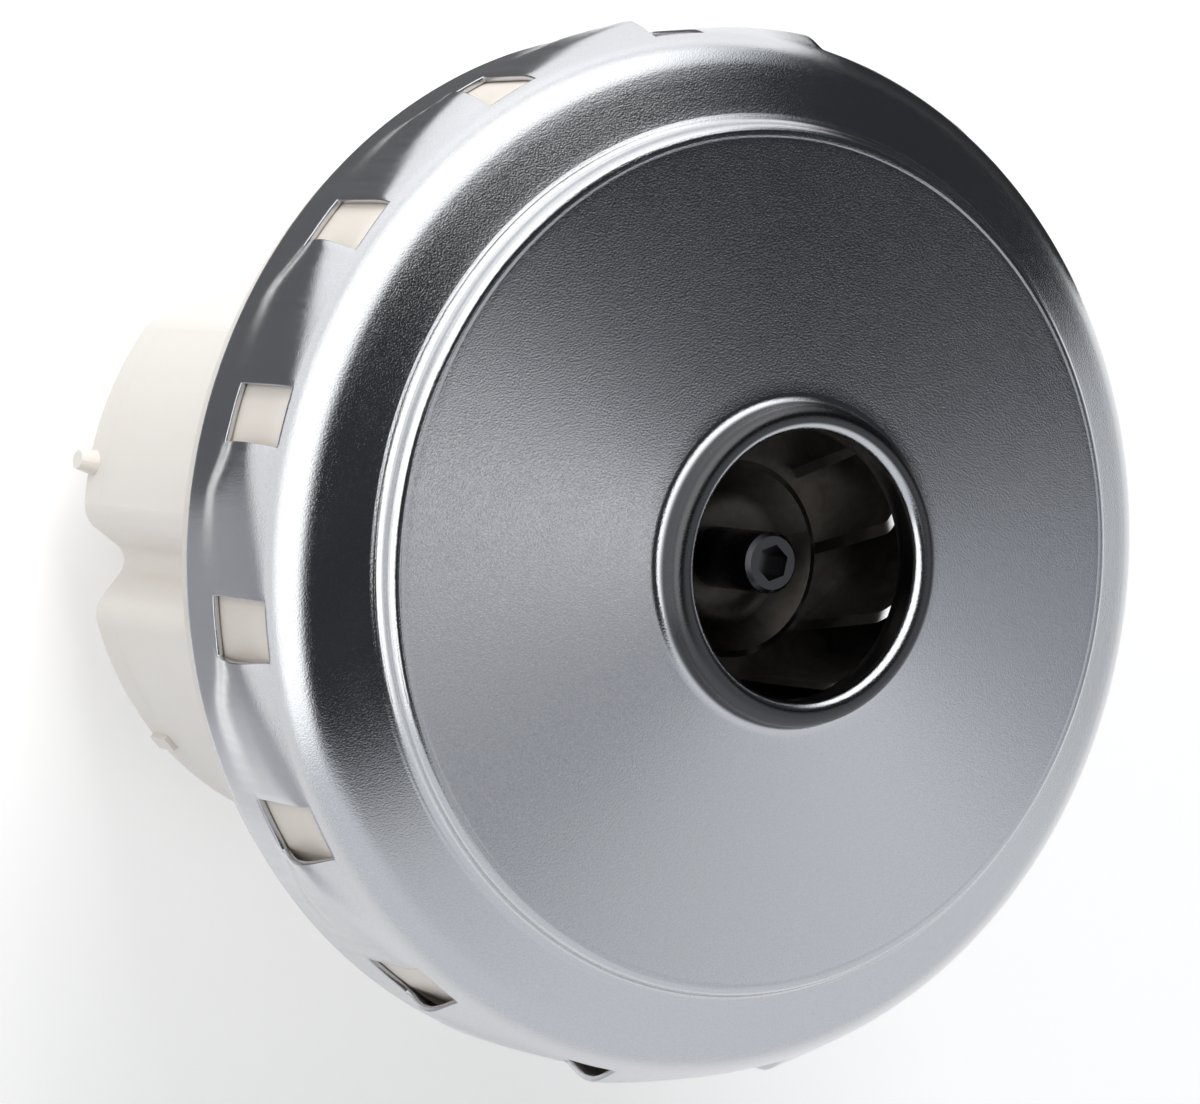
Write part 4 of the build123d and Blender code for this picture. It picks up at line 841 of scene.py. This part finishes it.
# %% Shell section
SHEET = 0.8
SKIRT_RADIUS, SKIRT_LOW, TOP = 65.5, 80.5, 118.0
SHOULDER_ROUND, SHOULDER_RISE = 8.0, 15.8
SLOPE_ANGLE = math.radians(25.0)
CORNER_RISE = SHOULDER_RISE + SHOULDER_ROUND * math.tan((math.pi / 2 - SLOPE_ANGLE) / 2)
STEP_FOOT, STEP_CREST, STEP_RISE, STEP_ROUND = 53.92, 53.54, 2.14, 1.45
INLET, NECK, NECK_RISE, NECK_ROUND = 16.5, 19.6, 34.2, 1.8
LIP_TURN, LIP_ROUND = 4.5, 1.5


def slope_height(radius):
    """height of the sloped ring inside the shoulder"""
    return SKIRT_LOW + CORNER_RISE + (SKIRT_RADIUS - radius) * math.tan(SLOPE_ANGLE)


CORNERS = [
    (SKIRT_RADIUS, SKIRT_LOW, 0.0),
    (SKIRT_RADIUS, slope_height(SKIRT_RADIUS), SHOULDER_ROUND),
    (STEP_FOOT, slope_height(STEP_FOOT), STEP_ROUND),
    (STEP_CREST, slope_height(STEP_FOOT) + STEP_RISE, STEP_ROUND),
    (NECK, SKIRT_LOW + NECK_RISE, NECK_ROUND),
    (NECK, TOP, LIP_ROUND),
    (INLET, TOP, LIP_ROUND),
    (INLET, TOP - LIP_TURN, 0.0),
]


def rounded_line(corners, arc_step, run_step):
    """points along a line of corners, each rounded to its own radius"""
    made = [Vector(corners[0][:2])]

    def run_to(target):
        start = made[-1].copy()
        steps = max(1, round((target - start).length / run_step))
        made.extend(start.lerp(target, k / steps) for k in range(1, steps + 1))

    for before, here, after in zip(corners, corners[1:], corners[2:]):
        point = Vector(here[:2])
        back = (Vector(before[:2]) - point).normalized()
        on = (Vector(after[:2]) - point).normalized()
        opening = back.angle(on)
        reach = here[2] / math.tan(opening / 2)
        centre = point + (back + on).normalized() * here[2] / math.sin(opening / 2)
        run_to(point + back * reach)
        first, last = made[-1] - centre, point + on * reach - centre
        sweep = math.pi - opening
        steps = max(3, round(sweep / arc_step))
        sign = 1.0 if first.x * last.y - first.y * last.x > 0 else -1.0
        for k in range(1, steps + 1):
            turn = sign * sweep * k / steps
            c, s = math.cos(turn), math.sin(turn)
            made.append(centre + Vector((first.x * c - first.y * s, first.x * s + first.y * c)))
    run_to(Vector(corners[-1][:2]))
    return made


ARC_STEP, RUN_STEP = math.radians(7.0), 1.6
section = rounded_line(CORNERS, ARC_STEP, RUN_STEP)
print(len(section), "points in the shell's section")

# %% [markdown]
# Each scoop pushes the wall out beside its slot. It could be sculpted, or pressed in with a
# lattice, but sixteen equal scoops come out exactly alike from a formula. This one is a fade
# round the shell times two eased ramps along the shaft, so the wall has no crease but the
# scoop's lip at the slot.

# %% Slots and scoops
SLOTS = 16
PITCH = 360.0 / SLOTS
SLOT_START, SLOT_WIDTH = 9.1, 6.4
SLOT_LOW, SLOT_HIGH = 6.7, 18.4
SCOOP_WIDTH = PITCH - SLOT_WIDTH
SCOOP_OUT, SCOOP_FOOT, SCOOP_BACK = 1.69, 2.6, 9.4
SCOOP_FRONT, SCOOP_TOP = 13.2, 18.8
SLOT_FOOT, FOOT_FADE, EDGE_FADE = 5.4, 0.4, 1.6


def ramp(value, low, high):
    """0 to 1 between two numbers, eased at both ends"""
    t = min(max((value - low) / (high - low), 0.0), 1.0)
    return t * t * (3.0 - 2.0 * t)


def scoop_out(angle, rise):
    """how far the wall is pushed out at an angle in its pitch and a height on the skirt"""
    onward = (angle - SLOT_START - SLOT_WIDTH) / SCOOP_WIDTH
    if onward < 0.0:
        fade = 1.0 - ramp(-onward * SCOOP_WIDTH, 0.0, EDGE_FADE)
    else:
        fade = 1.0 - onward
    foot = SLOT_FOOT + (SCOOP_FOOT - SLOT_FOOT) * ramp(onward, 0.0, FOOT_FADE)
    up = ramp(rise, foot, foot + SCOOP_BACK - SCOOP_FOOT)
    down = ramp(rise, SCOOP_TOP, SCOOP_FRONT)
    return SCOOP_OUT * fade * up * down


print(SLOTS, "slots and scoops, one every", PITCH, "degrees")

# %% [markdown]
# The rows near the slots have to fall on the slots' lower and upper edges. So on the skirt
# they stand at chosen heights, three more climb the shoulder to the slots' upper edge, and
# from there on the drawn section gives them. The columns are about a degree apart and fall
# on the slots' sides, because the slot's corners have to look cut.

# %% Rows and columns
ROW_RISES = (
    0.0, 0.7, 1.6, 2.6, 3.5, 4.2, 4.8, 5.4, 6.0,
    6.7, 7.6, 8.8, 10.2, 11.6, 12.8, 13.8, 14.8, 15.8,
)
SHOULDER_SHARES = (0.33, 0.67, 1.0)
SLOT_CELLS, SCOOP_CELLS = 7, 17
CLEAR_ABOVE = 0.35

centre_radius = SKIRT_RADIUS - SHOULDER_ROUND
angle_at_top = math.asin((SLOT_HIGH - SHOULDER_RISE) / SHOULDER_ROUND)
rows = [Vector((SKIRT_RADIUS, SKIRT_LOW + rise)) for rise in ROW_RISES]
for share in SHOULDER_SHARES:
    turn = angle_at_top * share
    rows.append(Vector((centre_radius + SHOULDER_ROUND * math.cos(turn),
                        SKIRT_LOW + SHOULDER_RISE + SHOULDER_ROUND * math.sin(turn))))
first_free = SKIRT_LOW + SLOT_HIGH + CLEAR_ABOVE
rows += [point for point in section if point.y > first_free or point.x < centre_radius]
in_pitch = [SLOT_START + SLOT_WIDTH * k / SLOT_CELLS for k in range(SLOT_CELLS + 1)]
in_pitch += [SLOT_START + SLOT_WIDTH + SCOOP_WIDTH * k / SCOOP_CELLS for k in range(1, SCOOP_CELLS)]
columns = [(angle + PITCH * n, angle) for n in range(SLOTS) for angle in in_pitch]
print(len(rows), "rows,", len(columns), "columns")

# %% [markdown]
# A new piece is a plain mesh with its slot's finish. It rides on its body's empty, and the
# solid it stands for is hidden. Modifiers could stay live on it; here they are settled into
# the mesh, so that every later step sees the finished form.

# %% Piece helpers
def mesh_piece(name, points, faces, slot, body, stands_for):
    """a mesh in millimetres that becomes a piece of the unit"""
    mesh = bpy.data.meshes.new(name)
    mesh.from_pydata([tuple(c * MM for c in point) for point in points], [], faces)
    mesh.polygons.foreach_set("use_smooth", [True] * len(mesh.polygons))
    piece = bpy.data.objects.new(name, mesh)
    bpy.context.scene.collection.objects.link(piece)
    mesh.materials.append(finishes[slot])
    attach(piece, body)
    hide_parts(*stands_for)
    return piece


def settle(piece):
    """replace a piece's mesh by what its modifiers make of it"""
    graph = bpy.context.evaluated_depsgraph_get()
    made = bpy.data.meshes.new_from_object(piece.evaluated_get(graph))
    piece.modifiers.clear()
    piece.data = made


print("helpers:", [helper.__name__ for helper in (mesh_piece, settle)])

# %% [markdown]
# With rows and columns known, the mesh is two loops: one that places points and one that
# joins four of them into a face, leaving out the cells that lie in a slot. Solidify then
# gives the sheet its thickness inward, and Bevel breaks the edges, which catch the light.

# %% Build the shell
HAIR = 0.01
EDGE_BREAK, BREAK_ANGLE = 0.14, math.radians(50.0)
shell_points, shell_faces = [], []
for angle, pitch_angle in columns:
    a = math.radians(angle)
    for row in rows:
        pushed = scoop_out(pitch_angle, row.y - SKIRT_LOW) if row.x > centre_radius else 0.0
        radius = row.x + pushed
        shell_points.append((radius * math.cos(a), radius * math.sin(a), row.y))
for number, (_, pitch_angle) in enumerate(columns):
    beside = (number + 1) % len(columns)
    in_slot = SLOT_START - HAIR < pitch_angle < SLOT_START + SLOT_WIDTH - HAIR
    for k in range(len(rows) - 1):
        middle = (rows[k].y + rows[k + 1].y) / 2 - SKIRT_LOW
        if in_slot and SLOT_LOW < middle < SLOT_HIGH and rows[k].x > centre_radius:
            continue
        first, over = number * len(rows) + k, beside * len(rows) + k
        shell_faces.append((first, over, over + 1, first + 1))
shell = mesh_piece("louvred_shell", shell_points, shell_faces, "shell_steel", "case", ("fan_shell",))
thick = shell.modifiers.new("sheet", "SOLIDIFY")
thick.thickness = SHEET * MM
thick.offset = -1.0
thick.use_even_offset = True
broken = shell.modifiers.new("broken edges", "BEVEL")
broken.width = EDGE_BREAK * MM
broken.segments = 2
broken.limit_method = "ANGLE"
broken.angle_limit = BREAK_ANGLE
settle(shell)
print("shell faces", len(shell.data.polygons))

# %% [markdown]
# ## The brush springs
# A coil spring stands behind each carbon brush and shortens while the brush slides out. A
# solid can't shorten, and a shape key would need one more thing to drive it. Here each spring
# is made anew as a helix of wire that fills its solid's box, at rest: a ring of points is
# carried along the coil, square to the wire.

# %% Brush springs
SPRING_TURNS, SPRING_WIRE, BRUSH_TRAVEL = 7, 0.5, 6.0
TURN_STEPS, WIRE_SIDES = 24, 8


def wire_helix(low, high):
    """the points and faces of a helix of wire along X that fills a box"""
    middle = (low + high) / 2
    coil_radius = (high.y - low.y - SPRING_WIRE) / 2
    start, length = low.x + SPRING_WIRE / 2, high.x - low.x - SPRING_WIRE
    climb = length / (2 * math.pi * SPRING_TURNS)
    rings = SPRING_TURNS * TURN_STEPS
    points = []
    for k in range(rings + 1):
        turn = 2 * math.pi * k / TURN_STEPS
        outward = Vector((0.0, math.cos(turn), math.sin(turn)))
        heading = Vector((climb, -coil_radius * outward.z, coil_radius * outward.y))
        upright = heading.normalized().cross(outward)
        centre = Vector((start + length * k / rings, middle.y, middle.z)) + outward * coil_radius
        for j in range(WIRE_SIDES):
            side = 2 * math.pi * j / WIRE_SIDES
            across = outward * math.cos(side) + upright * math.sin(side)
            points.append(centre + across * SPRING_WIRE / 2)
    faces = []
    for k in range(rings):
        for j in range(WIRE_SIDES):
            first, beside = k * WIRE_SIDES + j, k * WIRE_SIDES + (j + 1) % WIRE_SIDES
            faces.append((first, beside, beside + WIRE_SIDES, first + WIRE_SIDES))
    faces.append(tuple(reversed(range(WIRE_SIDES))))
    faces.append(tuple(rings * WIRE_SIDES + j for j in range(WIRE_SIDES)))
    return points, faces


def brush_spring(name, node):
    """a helix in the place of a spring's solid"""
    low, high = (Vector(corner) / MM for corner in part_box(node))
    piece = mesh_piece(name, *wire_helix(low, high), "spring_steel", "case", (node,))
    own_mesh(piece)


brush_spring("coil_spring_right", "brush_spring_right")
brush_spring("coil_spring_left", "brush_spring_left")
